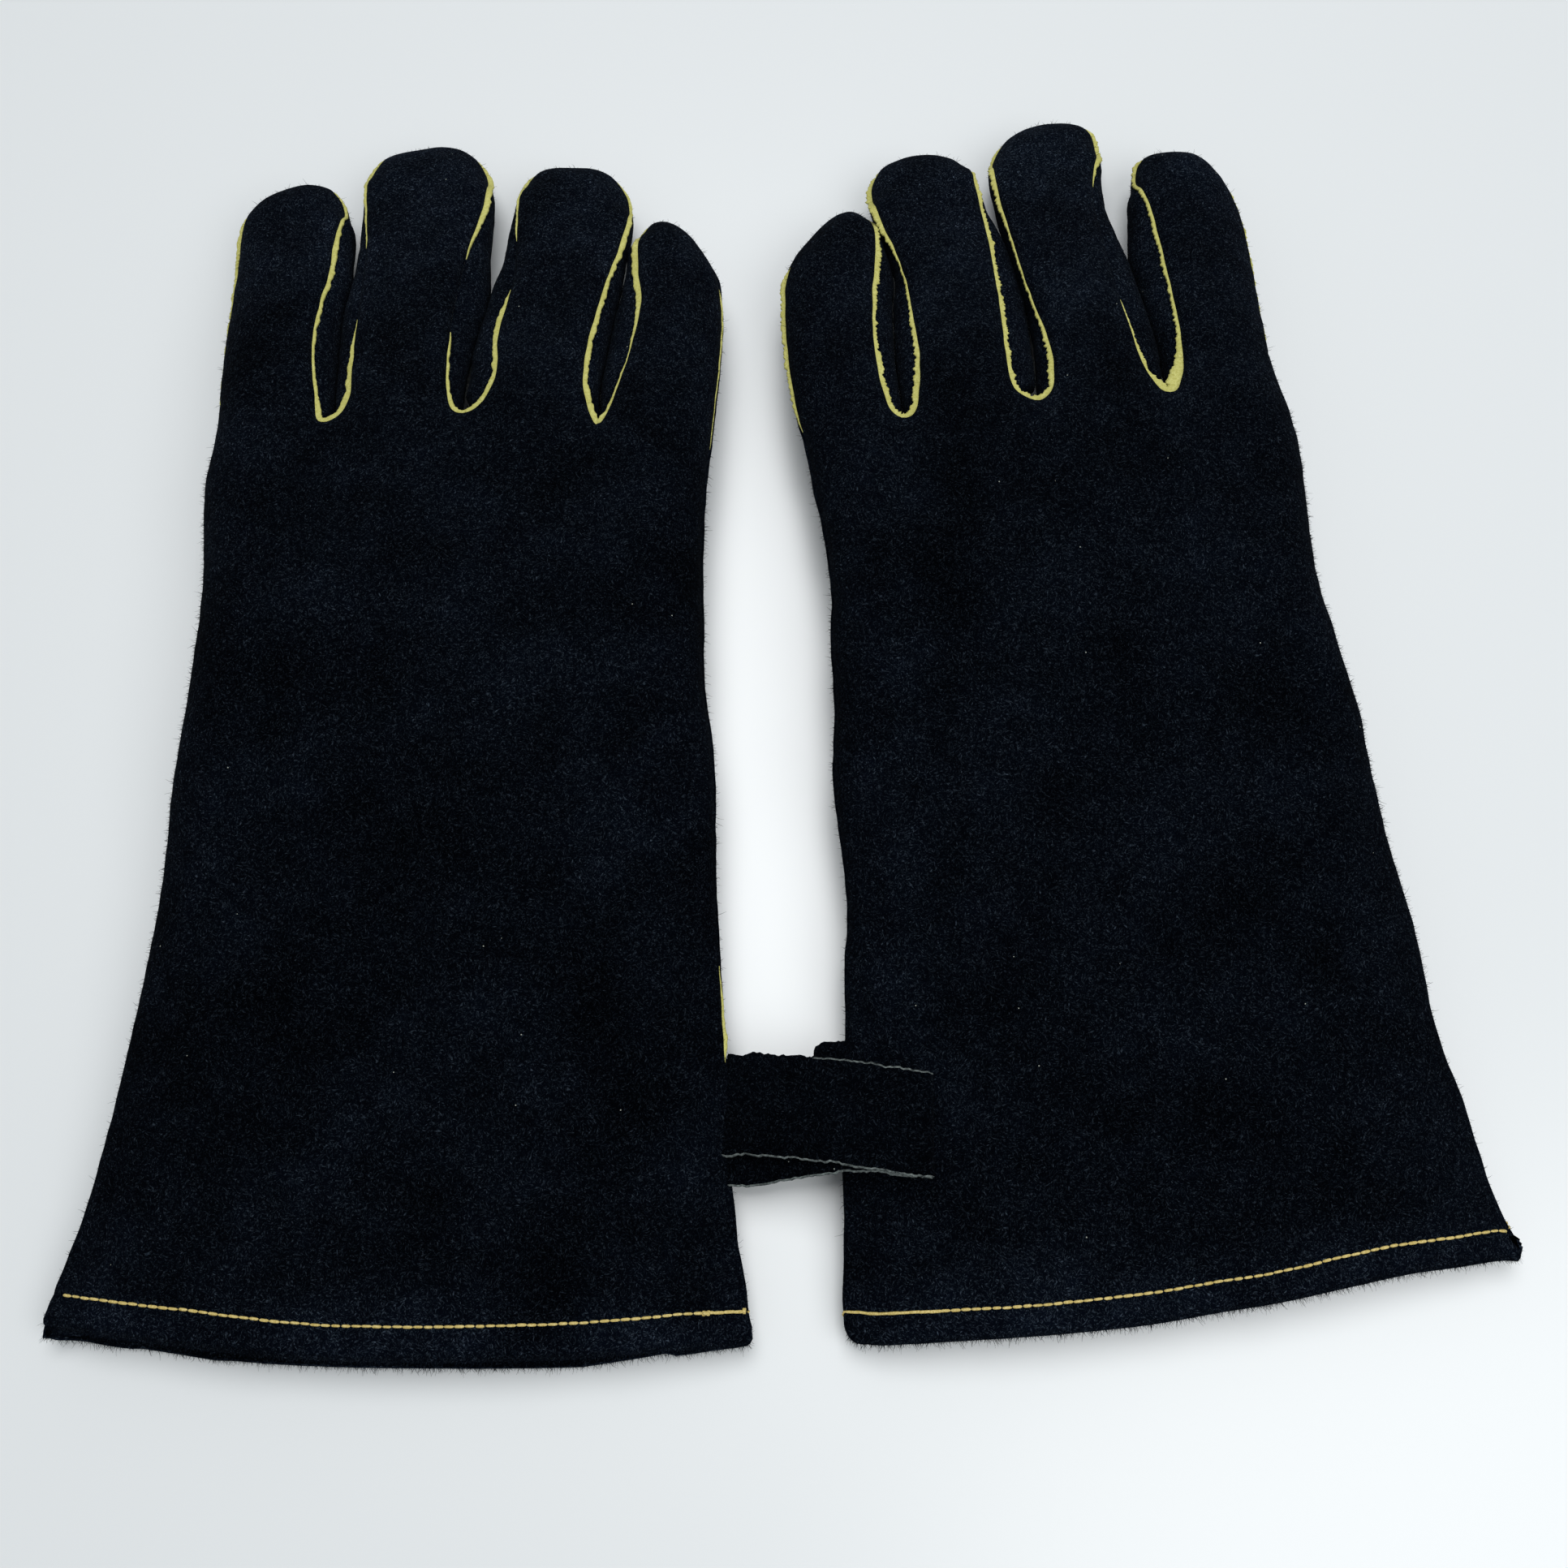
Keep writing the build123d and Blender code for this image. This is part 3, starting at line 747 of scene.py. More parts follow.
def split_parts(seam, places, triangles):
    """Triangles of the hand and of each finger."""
    middle = places[triangles].mean(1)
    crossing = sorted(p[0] for p in seam.points if abs(p[1] - FINGER_CUT) < 1e-9)
    forks = [-1e3] + [(crossing[2 * k + 1] + crossing[2 * k + 2]) / 2 for k in range(3)] + [1e3]
    parts = {"hand": middle[:, 1] < FINGER_CUT}
    for finger, low, high in zip(FINGERS, forks, forks[1:]):
        parts[finger] = ~parts["hand"] & (middle[:, 0] > low) & (middle[:, 0] <= high)
    return parts


def compact(points, triangles):
    """Only the points that the triangles use, the triangles renumbered, and the points' numbers."""
    used, renumbered = np.unique(triangles, return_inverse=True)
    return points[used], renumbered.reshape(-1, 3), used


def sheet_thickness(seam, places):
    """Leather thickness, doubled in the folded hem, rounded off at its edge and pressed in the seam."""
    distance = seam.nearest(places)[0]
    pressed = 0.55 + 0.45 * smooth01(distance / 3)
    if seam.closed:
        return LEATHER * pressed
    from_hem = places[:, 1] - seam.hem_y(places[:, 0])
    fold = 1 - smooth01((from_hem - HEM_FOLD + 0.6) / 1.2)
    corner = 0.15 + 0.85 * smooth01(np.hypot(distance, np.maximum(from_hem, 0)) / 5)
    full = (LEATHER * pressed + (HEM_THICK - LEATHER) * fold * smooth01((distance - 1) / 6)) * corner
    return np.maximum(full - 2 * hem_drop(seam, places, distance), 0.25)


def surface_normals(points, triangles, up):
    """Normals that point up on the back, down on the palm side."""
    normals = vertex_normals(points, triangles)
    return normals if (normals[:, 2] * up).mean() > 0 else -normals


def worn_shade(seam, places):
    """How rubbed and pale the nap is: most at the fingertips, forks and the hem's fold."""
    distance = seam.nearest(places)[0]
    y = places[:, 1]
    shade = np.interp(y, (0, 6, 14, 60, 150, 245, 320, 350), (1.0, 0.85, 0.4, 0.3, 0.35, 0.4, 0.8, 1.05))
    return shade + 0.3 * np.exp(-(distance / 4) ** 2) * (y > NAP_FINGERS)


def nap(seam, places, points, triangles, normals, wear_and_painted_light, label):
    """Single fibres of the nap: raised ones at the edges and the hem, flat ones on the rest."""
    dice = np.random.default_rng(3 + seam.data["seed"] + len(label))
    a, b, c = (points[triangles[:, k]] for k in range(3))
    area = np.linalg.norm(np.cross(b - a, c - a), axis=1) / 2
    middle = places[triangles].mean(1)
    distance, out, values = seam.nearest(middle)
    from_hem = middle[:, 1] - seam.hem_y(middle[:, 0])
    at_hem, outer = from_hem < 1.8, (values[:, 0] < 4) & (distance < 3.2)
    regions = [at_hem, outer & (middle[:, 1] > NAP_FINGERS), outer, distance < 3]
    density = np.select(regions, [5.5, 0.3, 1.2, 0.3], 0.07 if label == "back" else 0.02)
    count = dice.poisson(area * density)
    chosen = np.repeat(np.arange(len(triangles)), count)
    total = len(chosen)
    share = dice.random((total, 2))
    flip = share.sum(1) > 1
    share[flip] = 1 - share[flip]
    corner = triangles[chosen]
    u, v = share[:, :1], share[:, 1:]
    root = points[corner[:, 0]] * (1 - u - v) + points[corner[:, 1]] * u + points[corner[:, 2]] * v
    normal = normals[corner[:, 0]]
    raised, hem = (outer | at_hem)[chosen], at_hem[chosen]
    away = np.column_stack([out[chosen], np.zeros(total)])
    away[hem] = (0, -1, 0)
    angle = dice.uniform(0, 2 * math.pi, total)
    loose = np.column_stack([np.cos(angle), np.sin(angle), np.zeros(total)])
    flat = loose - normal * (loose * normal).sum(1)[:, None]
    direction = np.where(raised[:, None], normal * 0.35 + away * 0.75 + loose * 0.55, flat + normal * 0.16)
    direction /= np.linalg.norm(direction, axis=1)[:, None]
    hem_length, edge_length = dice.gamma(3.2, 0.34, total), dice.gamma(3, 0.24, total)
    flat_length = dice.uniform(0.7, 1.8, total)
    length = np.where(hem, hem_length, np.where(raised, edge_length, flat_length)).clip(0.35, 2.4)
    width = np.where(raised, dice.uniform(0.045, 0.08, total), dice.uniform(0.035, 0.06, total))
    side = np.cross(direction, normal + 0.01)
    side /= np.linalg.norm(side, axis=1)[:, None]
    other = np.cross(direction, side)
    bend = side * dice.uniform(-0.45, 0.45, total)[:, None] - normal * np.where(raised, 0.0, 0.16)[:, None]
    rings = []
    for t in (0.0, 0.55, 1.0):
        spine = root - normal * 0.12 + (direction * t + bend * t * t) * length[:, None]
        for k in range(3):
            turn = 2 * math.pi * k / 3
            ring = side * math.cos(turn) + other * math.sin(turn)
            rings.append(spine + ring * (width * (1 - 0.7 * t))[:, None])
    hairs = np.stack(rings, axis=1)
    above = hairs[:, :, 2].min(1) > 0.02
    hairs, total = hairs[above].reshape(-1, 3), int(above.sum())
    pattern = [(2, 1, 0)]
    for r in (0, 3):
        pattern += [(r + k, r + (k + 1) % 3, r + 3 + (k + 1) % 3, r + 3 + k) for k in range(3)]
    pattern.append((6, 7, 8))
    faces = [tuple(9 * h + i for i in f) for h in range(total) for f in pattern]
    shades = np.repeat((wear_and_painted_light[corner[:, 0]] + np.where(raised, 0.4, 1.3))[above], 9)
    return hairs, faces, shades


def leathers(glove, surface, up, label, nodes):
    """The back or the palm leather of a glove, in one piece for the hand and one for each finger."""
    seam = glove.seam
    places, triangles = glove.pattern
    points = surface(seam, places)
    normals = surface_normals(points, triangles, up)
    thickness = sheet_thickness(seam, places)
    wear_and_painted_light = worn_shade(seam, places)
    # On the palm side the colour is lifted towards the hem: painted light where the back's hem shades the
    # palm's edge.
    if label == "palm":
        wear_and_painted_light = wear_and_painted_light + 2 * (1 - smooth01((places[:, 1] - seam.hem_y(places[:, 0])) / 5))
    for part, chosen in split_parts(seam, places, triangles).items():
        some, renumbered, used = compact(points, triangles[chosen])
        shape, faces, rim = sheet_mesh(some, renumbered, normals[used], thickness[used])
        sheet = (places[used], some, renumbered, normals[used], wear_and_painted_light[used])
        hairs, hair_faces, shades = nap(seam, *sheet, label)
        faces += [tuple(i + len(shape) for i in f) for f in hair_faces]
        thing = glove.mesh(
            f"{glove.side}_{part}_{label}_leather", np.vstack([shape, hairs]), faces, rim,
            [MATERIALS["suede"]], normals=np.vstack([normals[used], -normals[used]]),
            wear_and_painted_light=np.concatenate([wear_and_painted_light[used], wear_and_painted_light[used], shades]),
        )
        glove.joint_blend(thing, part)
        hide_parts(*[f"{glove.side}_{n}" for n in nodes[part]])


# ------------------------------------------------------------------ welts

def welts(glove):
    """The yellow strip in the seam, cut raggedly, in one piece for the hand and one for each finger."""
    seam = glove.seam
    stops = [0] + seam.cuts + [len(seam.points) - 1]
    groups = {"hand": [], **{finger: [] for finger in FINGERS}}
    order = ["hand", "index", "hand", "middle", "hand", "ring", "hand", "little", "hand"]
    for name, start, end in zip(order, stops, stops[1:]):
        groups[name].append((start, end))
    for part, runs in groups.items():
        points, faces = [], []
        for start, end in runs:
            add_welt(seam, start, end, points, faces)
        nodes = ["cuff_welts", "hand_welts"] if part == "hand" else [f"{part}_welt"]
        thing = glove.mesh(f"{glove.side}_{part}_welt_strip", points, faces, None, [MATERIALS["welt"]])
        glove.joint_blend(thing, part)
        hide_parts(*[f"{glove.side}_{n}" for n in nodes])


def add_welt(seam, start, end, points, faces):
    """The welt along one run of the seam. It is tucked in where its width is least."""
    if not seam.closed:
        start, end = max(start, CORNER_STEPS - 1), min(end, len(seam.points) - CORNER_STEPS)
    fine = 3
    index = np.linspace(start, end, (end - start) * fine + 1)
    whole = np.arange(len(seam.points))
    x, y = (np.interp(index, whole, seam.points[:, k]) for k in (0, 1))
    out = np.column_stack([np.interp(index, whole, seam.out[:, k]) for k in (0, 1)])
    out /= np.linalg.norm(out, axis=1)[:, None]
    height = np.interp(index, whole, seam.height)
    width = np.interp(index, whole, seam.table[:, 6])
    lines = [(i * STEP, 0, 0) for i in index]
    seed = seam.data["seed"]
    ragged = 0.42 * wobble(lines, 2.6, 21 + seed) + 0.34 * wobble(lines, 1.0, 22 + seed)
    ragged += seam.data.get("frayed", 0) * wobble(lines, 0.5, 24 + seed)
    shown = width + ragged * np.clip(width / 1.2, 0.15, 1)
    shown = np.where(width < 0.12, -1.2, shown)
    wave = 0.25 * wobble(lines, 5.0, 23 + seed)
    room = welt_room(width)
    profile = [
        (-1.5, 0.42), (-1.5, -0.42), (0.5, -0.5), (0.86, -0.44), (1, -0.16), (1, 0.2), (0.8, 0.46),
        (0.4, 0.5),
    ]
    base = len(points)
    for i in range(len(index)):
        for reach, level in profile:
            far = reach if reach < 0 else shown[i] * (reach if shown[i] > 0 else 1)
            sag = -0.125 * max(far, 0) ** 1.2
            points.append((
                x[i] + out[i, 0] * far, y[i] + out[i, 1] * far,
                height[i] + 2 * level * room[i] + sag + (wave[i] if far > 0 else 0),
            ))
    size = len(profile)
    for i in range(len(index) - 1):
        for k in range(size):
            a, b = base + i * size + k, base + i * size + (k + 1) % size
            faces.append((a, a + size, b + size, b))
    faces.append(tuple(base + k for k in range(size)))
    faces.append(tuple(base + (len(index) - 1) * size + k for k in reversed(range(size))))


# ------------------------------------------------------------------ stitches

def add_capsule(points, faces, start, end, width, height, lift=0.0):
    """A rounded stitch from start to end, lying on the leather."""
    start, end = np.array(start), np.array(end)
    run = end - start
    run_unit = run / np.linalg.norm(run)
    side = np.cross((0, 0, 1.0), run_unit)
    side /= np.linalg.norm(side)
    up = np.cross(run_unit, side)
    rings = [
        (-0.02, 0.25), (0.06, 0.68), (0.22, 0.95), (0.5, 1.0), (0.78, 0.95), (0.94, 0.68), (1.02, 0.25),
    ]
    base, around = len(points), 8
    for share, size in rings:
        arch = 0.25 * height * math.sin(math.pi * max(0, min(1, share)))
        middle = start + run * share + up * (lift + arch)
        for k in range(around):
            angle = 2 * math.pi * (k + share) / around
            ring = side * width / 2 * math.cos(angle) + up * height / 2 * math.sin(angle)
            points.append(tuple(middle + size * ring))
    for r in range(len(rings) - 1):
        for k in range(around):
            a, b = base + r * around + k, base + r * around + (k + 1) % around
            faces.append((a, b, b + around, a + around))
    faces.append(tuple(base + k for k in reversed(range(around))))
    faces.append(tuple(base + (len(rings) - 1) * around + k for k in range(around)))


def add_back_tack(points, faces, shape, dice):
    """Doubled thread over the last stitches, a lump where it starts and a knot at its end."""
    for a, b in zip(shape[-5:], shape[-4:]):
        lift = np.array((0, dice.uniform(-0.25, 0.25), 0.35))
        add_capsule(points, faces, a - (b - a) * 0.15 + lift, b + (b - a) * 0.1 + lift, 0.85, 0.6)
    lump, run = shape[-5], shape[-4] - shape[-5]
    for angle, lift, reach in ((0.5, 0.5, 1.0), (-0.4, 0.75, 0.9), (0.1, 0.9, 0.7), (1.1, 0.6, 0.45)):
        turn = np.array((math.cos(angle), math.sin(angle), 0))
        size = reach * 1.1
        middle = lump + run * 0.25 + (0, 0, lift)
        add_capsule(points, faces, middle - turn * size, middle + turn * size, 0.9, 0.7)
    end = shape[-1] + (-0.2, 0, 0.4)
    for angle in (1.2, 1.9):
        turn = np.array((math.cos(angle), math.sin(angle), 0.1))
        add_capsule(points, faces, end - turn * 0.7, end + turn * 0.8, 0.75, 0.6)


def hem_stitches(glove):
    """A single row of yellow stitches along the hem, above and below."""
    seam = glove.seam
    points, faces = [], []
    left, right = (
        row[np.abs(row[:, 1] - seam.hem_y(row[:, 0]) - seam.data["stitch"]).argmin(), 0]
        for row in (seam.points[:12], seam.points[-12:])
    )
    left, right = left + (3.0 if glove.side == "right" else 0.8), right - 0.4
    count = int((right - left) / STITCH_PITCH)
    dice = random.Random(5)
    for surface, sign in ((top_surface, 1), (palm_surface, -1)):
        x = np.linspace(left, right, count + 1)
        line = np.column_stack([x, seam.hem_y(x) + seam.data["stitch"] + 0.12 * np.sin(x / 9)])
        shape = surface(seam, line)
        for number, (a, b) in enumerate(zip(shape, shape[1:])):
            jitter = np.array((0, dice.uniform(-0.08, 0.08), sign * 0.14))
            gap = (b - a) * dice.choice((0.01, 0.02, 0.03, 0.05, 0.08))
            if glove.side == "left" and number > count - SEWN_TWICE:
                gap = -0.25 * (b - a)
            width = dice.uniform(0.68, 0.84)
            add_capsule(points, faces, a + gap + jitter, b - gap + jitter, width, 0.55 if sign > 0 else 0.4)
        if sign > 0 and glove.side == "right":
            add_back_tack(points, faces, shape, dice)
    thing = glove.mesh(f"{glove.side}_hem_thread", points, faces, None, [MATERIALS["thread"]])
    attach(thing, f"{glove.side}_cuff")
    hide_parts(f"{glove.side}_hem_stitching")


# ------------------------------------------------------------------ linings

def linings(glove):
    """Cotton lining inside the leathers, from the end of the hem's fold into the fingers."""
    seam = glove.seam
    places, triangles = flat_pattern(seam, (0, 2.2, 4.6, 7.4, 10.8), 6.0, hem_start=HEM_FOLD + 0.4)
    parts = split_parts(seam, places, triangles)
    nodes = {"hand": ["cuff_lining", "hand_lining"]}
    layers = []
    for surface, up in ((top_surface, 1), (palm_surface, -1)):
        points = surface(seam, places)
        normals = surface_normals(points, triangles, up)
        pressed = 0.5 + 0.5 * smooth01(seam.nearest(places)[0] / 4)
        layers.append((points - normals * (LEATHER * pressed + 0.2)[:, None], normals, 1.2 * pressed))
    for part, chosen in parts.items():
        all_points, all_faces, count = [], [], 0
        for points, normals, thickness in layers:
            some, renumbered, used = compact(points, triangles[chosen])
            shape, faces, _ = sheet_mesh(some, renumbered, normals[used], thickness[used])
            all_points.append(shape)
            all_faces += [tuple(i + count for i in f) for f in faces]
            count += len(shape)
        name = f"{glove.side}_{part}_cotton"
        thing = glove.mesh(name, np.vstack(all_points), all_faces, None, [MATERIALS["lining"]])
        glove.joint_blend(thing, part)
        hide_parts(*[f"{glove.side}_{n}" for n in nodes.get(part, [f"{part}_lining"])])


# ------------------------------------------------------------------ thumbs

THUMB_BASE = (-48, 172)
THUMB_LEAN = math.radians(18)
THUMB_WELT = 0.45      # width shown
THUMB_SIDE = [
    (7.4, -15.4), (13.3, -10), (16.3, 0), (16.2, 22), (15.4, 48), (13.6, 62), (10, 69), (4.5, 71.8),
]


def thumb(glove):
    """The thumb under the palm: two leathers, a welt in their seam and a lining."""
    around = [(-x, y) for x, y in THUMB_SIDE] + THUMB_SIDE[::-1] + [(-THUMB_SIDE[0][0], THUMB_SIDE[0][1])]
    edge = {"points": around, "welt": [(0, THUMB_WELT)]}
    seam = ThumbSeam({"seed": 90 + glove.seam.data["seed"], "index_side": edge}, closed=True)
    places, triangles = flat_pattern(seam, SEAM_ROWS[:-1], 2.6, cuts=False)
    cosine, sine = math.cos(THUMB_LEAN), math.sin(THUMB_LEAN)

    def laid(points):
        x, y, z = np.asarray(points).T
        across, along = x * cosine + y * sine, y * cosine - x * sine
        return np.column_stack([THUMB_BASE[0] + across, THUMB_BASE[1] + along, z])

    def ridden(name, points, faces, flat_from, slot, node):
        thing = glove.mesh(f"{glove.side}_thumb_{name}", laid(points), faces, flat_from, [MATERIALS[slot]])
        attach(thing, f"{glove.side}_thumb")
        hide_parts(f"{glove.side}_thumb_{node}")

    lining_points, lining_faces = [], []
    for surface, up, node in ((top_surface, 1, "back"), (palm_surface, -1, "front")):
        points = surface(seam, places)
        normals = surface_normals(points, triangles, up)
        thickness = sheet_thickness(seam, places)
        shape, faces, rim = sheet_mesh(points, triangles, normals, thickness)
        ridden(f"{node}_leather", shape, faces, rim, "suede", node)
        inside_leather = points - normals * (thickness + 0.2)[:, None]
        inner, faces, _ = sheet_mesh(inside_leather, triangles, normals, thickness * 0.6)
        lining_faces += [tuple(i + len(inner) * len(lining_points) for i in f) for f in faces]
        lining_points.append(inner)
    ridden("cotton", np.vstack(lining_points), lining_faces, None, "lining", "lining")
    points, faces = [], []
    add_welt(seam, 0, len(seam.points) - 1, points, faces)
    ridden("welt_strip", points, faces, None, "welt", "welt")


# ------------------------------------------------------------------ hang loops

# Where each strap's root is across the glove, the strap's width and the middle line of the
# folded strap: out from the root, distance from the hem, height
LOOPS = {
    "right": (81.0, 25.6, [
        (-1.2, 60.2, 13.9), (1.5, 60, 15.2), (10, 59.7, 18.8), (20, 58.6, 22), (28, 57.9, 24.4),
        (37, 56.5, 25.8), (45, 55.4, 26), (49.4, 55.1, 25.9), (50.7, 55, 25), (49.4, 55, 24.1),
        (45, 55.2, 24), (37, 56, 23.7), (28, 56, 21.8), (22, 55.2, 19.2), (14, 54, 15.4), (7, 52.9, 13.2),
        (2, 52.6, 12.9), (-1.2, 52.6, 12.7),
    ]),
    "left": (79.2, 26, [
        (-5, 59.4, 14.6), (-1, 59.4, 14.9), (2.5, 59.3, 14.6), (4.4, 58.9, 13.2), (5.6, 58, 10),
        (7, 57.2, 6), (9.5, 57, 3.4), (15, 57, 2.5), (30, 57, 2.4), (42, 57, 2.4), (43.3, 57, 1.7),
        (42, 57, 1), (30, 57, 0.95), (12, 57, 1), (8, 57, 2.2), (5.6, 57.2, 5.8), (4.2, 57.9, 9.4),
        (3, 58.6, 12), (1.2, 59.2, 13.2), (-1.5, 59.4, 13.3), (-5, 59.4, 13.1),
    ]),
}
EDGE_PAINTED_SHADE_TO = 20.0       # one cut edge is pale only beyond this distance from the root; nearer it is black, painted shade where the root lies in shadow


def hang_loop(glove, root, width, path):
    """A strap folded into a loop, its cut edges pale, one of them black near the root as painted shade."""
    line, _ = spline([(root + x, y, z) for x, y, z in path])
    along, even = even_steps(line, 0.5)
    line = np.column_stack([np.interp(even, along, line[:, k]) for k in range(3)])
    run = np.gradient(line, axis=0)
    run /= np.linalg.norm(run, axis=1)[:, None]
    across = np.array((0, 1.0, 0)) - run * run[:, 1:2]
    across /= np.linalg.norm(across, axis=1)[:, None]
    normal = np.cross(run, across)
    half, thick = width / 2, 0.62
    inner = np.linspace(-half + 0.45, half - 0.45, 9)
    section = [(-half, -0.2), (-half, 0.2)] + [(w, thick) for w in inner]
    section += [(half, 0.2), (half, -0.2)] + [(w, -thick) for w in inner[::-1]]
    size, points, faces, picks = len(section), [], [], []
    for i in range(len(line)):
        spot = Vector((even[i], 0, 0))
        edges = [
            0.45 * noise.noise(spot / 3.3 + Vector((0.5, k, 5.5)))
            + 0.4 * noise.noise(spot / 0.9 + Vector((0.5, k, 9.5)))
            for k in (0.5, 4.5)
        ]
        for w, t in section:
            ragged = edges[int(w > 0)] * max(0, abs(w) / half - 0.8) * 5
            points.append(line[i] + across[i] * (w + ragged) + normal[i] * t)
    for i in range(len(line) - 1):
        for k in range(size):
            a, b = i * size + k, i * size + (k + 1) % size
            faces.append((a, a + size, b + size, b))
            outer = all(abs(section[j][0]) > half - 0.5 for j in (k, (k + 1) % size))
            # One cut edge keeps the suede's black near the root: painted shade.
            picks.append(int(outer and (section[k][0] < 0 or line[i, 0] > root + EDGE_PAINTED_SHADE_TO)))
    faces += [tuple(range(size)), tuple(reversed(range((len(line) - 1) * size, len(line) * size)))]
    picks += [0, 0]
    materials = [MATERIALS["suede"], MATERIALS["cut_edge"]]
    thing = glove.mesh(f"{glove.side}_loop_strap", points, faces, None, materials, picks)
    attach(thing, f"{glove.side}_loop")
    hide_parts(f"{glove.side}_hang_loop")


# ------------------------------------------------------------------ materials

class Nodes:
    """Short calls for shader nodes."""

    def __init__(self, nodes, links):
        self.nodes, self.links = nodes, links
        self.coordinates = nodes.new("ShaderNodeTexCoord").outputs["Object"]
        self.shader = nodes.new("ShaderNodeBsdfPrincipled")
        output = nodes.new("ShaderNodeOutputMaterial")
        links.new(self.shader.outputs["BSDF"], output.inputs["Surface"])

    def plug(self, value, socket):
        if hasattr(value, "links"):
            self.links.new(value, socket)
        else:
            socket.default_value = value

    def noise(self, vector, scale, detail=2.0, rough=0.5):
        node = self.nodes.new("ShaderNodeTexNoise")
        self.plug(vector, node.inputs["Vector"])
        node.inputs["Scale"].default_value = scale
        node.inputs["Detail"].default_value = detail
        node.inputs["Roughness"].default_value = rough
        return node.outputs["Fac"], node.outputs["Color"]

    def math(self, operation, a, b):
        node = self.nodes.new("ShaderNodeMath")
        node.operation = operation
        self.plug(a, node.inputs[0])
        self.plug(b, node.inputs[1])
        return node.outputs[0]

    def vector(self, operation, a, b=(0, 0, 0)):
        node = self.nodes.new("ShaderNodeVectorMath")
        node.operation = operation
        self.plug(a, node.inputs[0])
        self.plug(b, node.inputs[3] if operation == "SCALE" else node.inputs[1])
        return node.outputs[0]

    def range(self, value, low, high, to_low=0.0, to_high=1.0):
        node = self.nodes.new("ShaderNodeMapRange")
        self.plug(value, node.inputs["Value"])
        node.inputs["From Min"].default_value = low
        node.inputs["From Max"].default_value = high
        node.inputs["To Min"].default_value = to_low
        node.inputs["To Max"].default_value = to_high
        return node.outputs["Result"]

    def mix(self, factor, a, b):
        node = self.nodes.new("ShaderNodeMix")
        node.data_type = "RGBA"
        self.plug(factor, node.inputs[0])
        self.plug(a, node.inputs[6])
        self.plug(b, node.inputs[7])
        return node.outputs[2]

    def turned(self, vector, angle, scale):
        """Coordinates turned about Z by an angle that may vary, then stretched."""
        rotate = self.nodes.new("ShaderNodeVectorRotate")
        rotate.rotation_type = "Z_AXIS"
        self.plug(vector, rotate.inputs["Vector"])
        self.plug(angle, rotate.inputs["Angle"])
        mapping = self.nodes.new("ShaderNodeMapping")
        self.links.new(rotate.outputs["Vector"], mapping.inputs["Vector"])
        mapping.inputs["Scale"].default_value = scale
        return mapping.outputs["Vector"]

    def cells(self, vector, scale):
        node = self.nodes.new("ShaderNodeTexVoronoi")
        self.plug(vector, node.inputs["Vector"])
        node.inputs["Scale"].default_value = scale
        return node.outputs["Distance"], node.outputs["Color"]

    def red(self, colour):
        node = self.nodes.new("ShaderNodeSeparateColor")
        self.links.new(colour, node.inputs[0])
        return node.outputs[0]

    def strokes(self, vector, shift, cells, scale):
        """Short strokes that point another way in each cell."""
        moved = self.vector("ADD", vector, shift)
        angle = self.math("MULTIPLY", self.red(self.cells(moved, cells)[1]), 6.283)
        return self.noise(self.turned(moved, angle, scale), 1.0, 1.0)[0]

    def bump(self, height, distance, strength=1.0, normal=None):
        node = self.nodes.new("ShaderNodeBump")
        node.inputs["Strength"].default_value = strength
        node.inputs["Distance"].default_value = distance
        self.plug(height, node.inputs["Height"])
        if normal is not None:
            self.plug(normal, node.inputs["Normal"])
        return node.outputs["Normal"]


def new_material(name):
    """A material, its nodes and the inputs of its shader."""
    material = bpy.data.materials.new(name)
    material.use_nodes = True
    material.node_tree.nodes.clear()
    n = Nodes(material.node_tree.nodes, material.node_tree.links)
    return material, n, n.shader.inputs


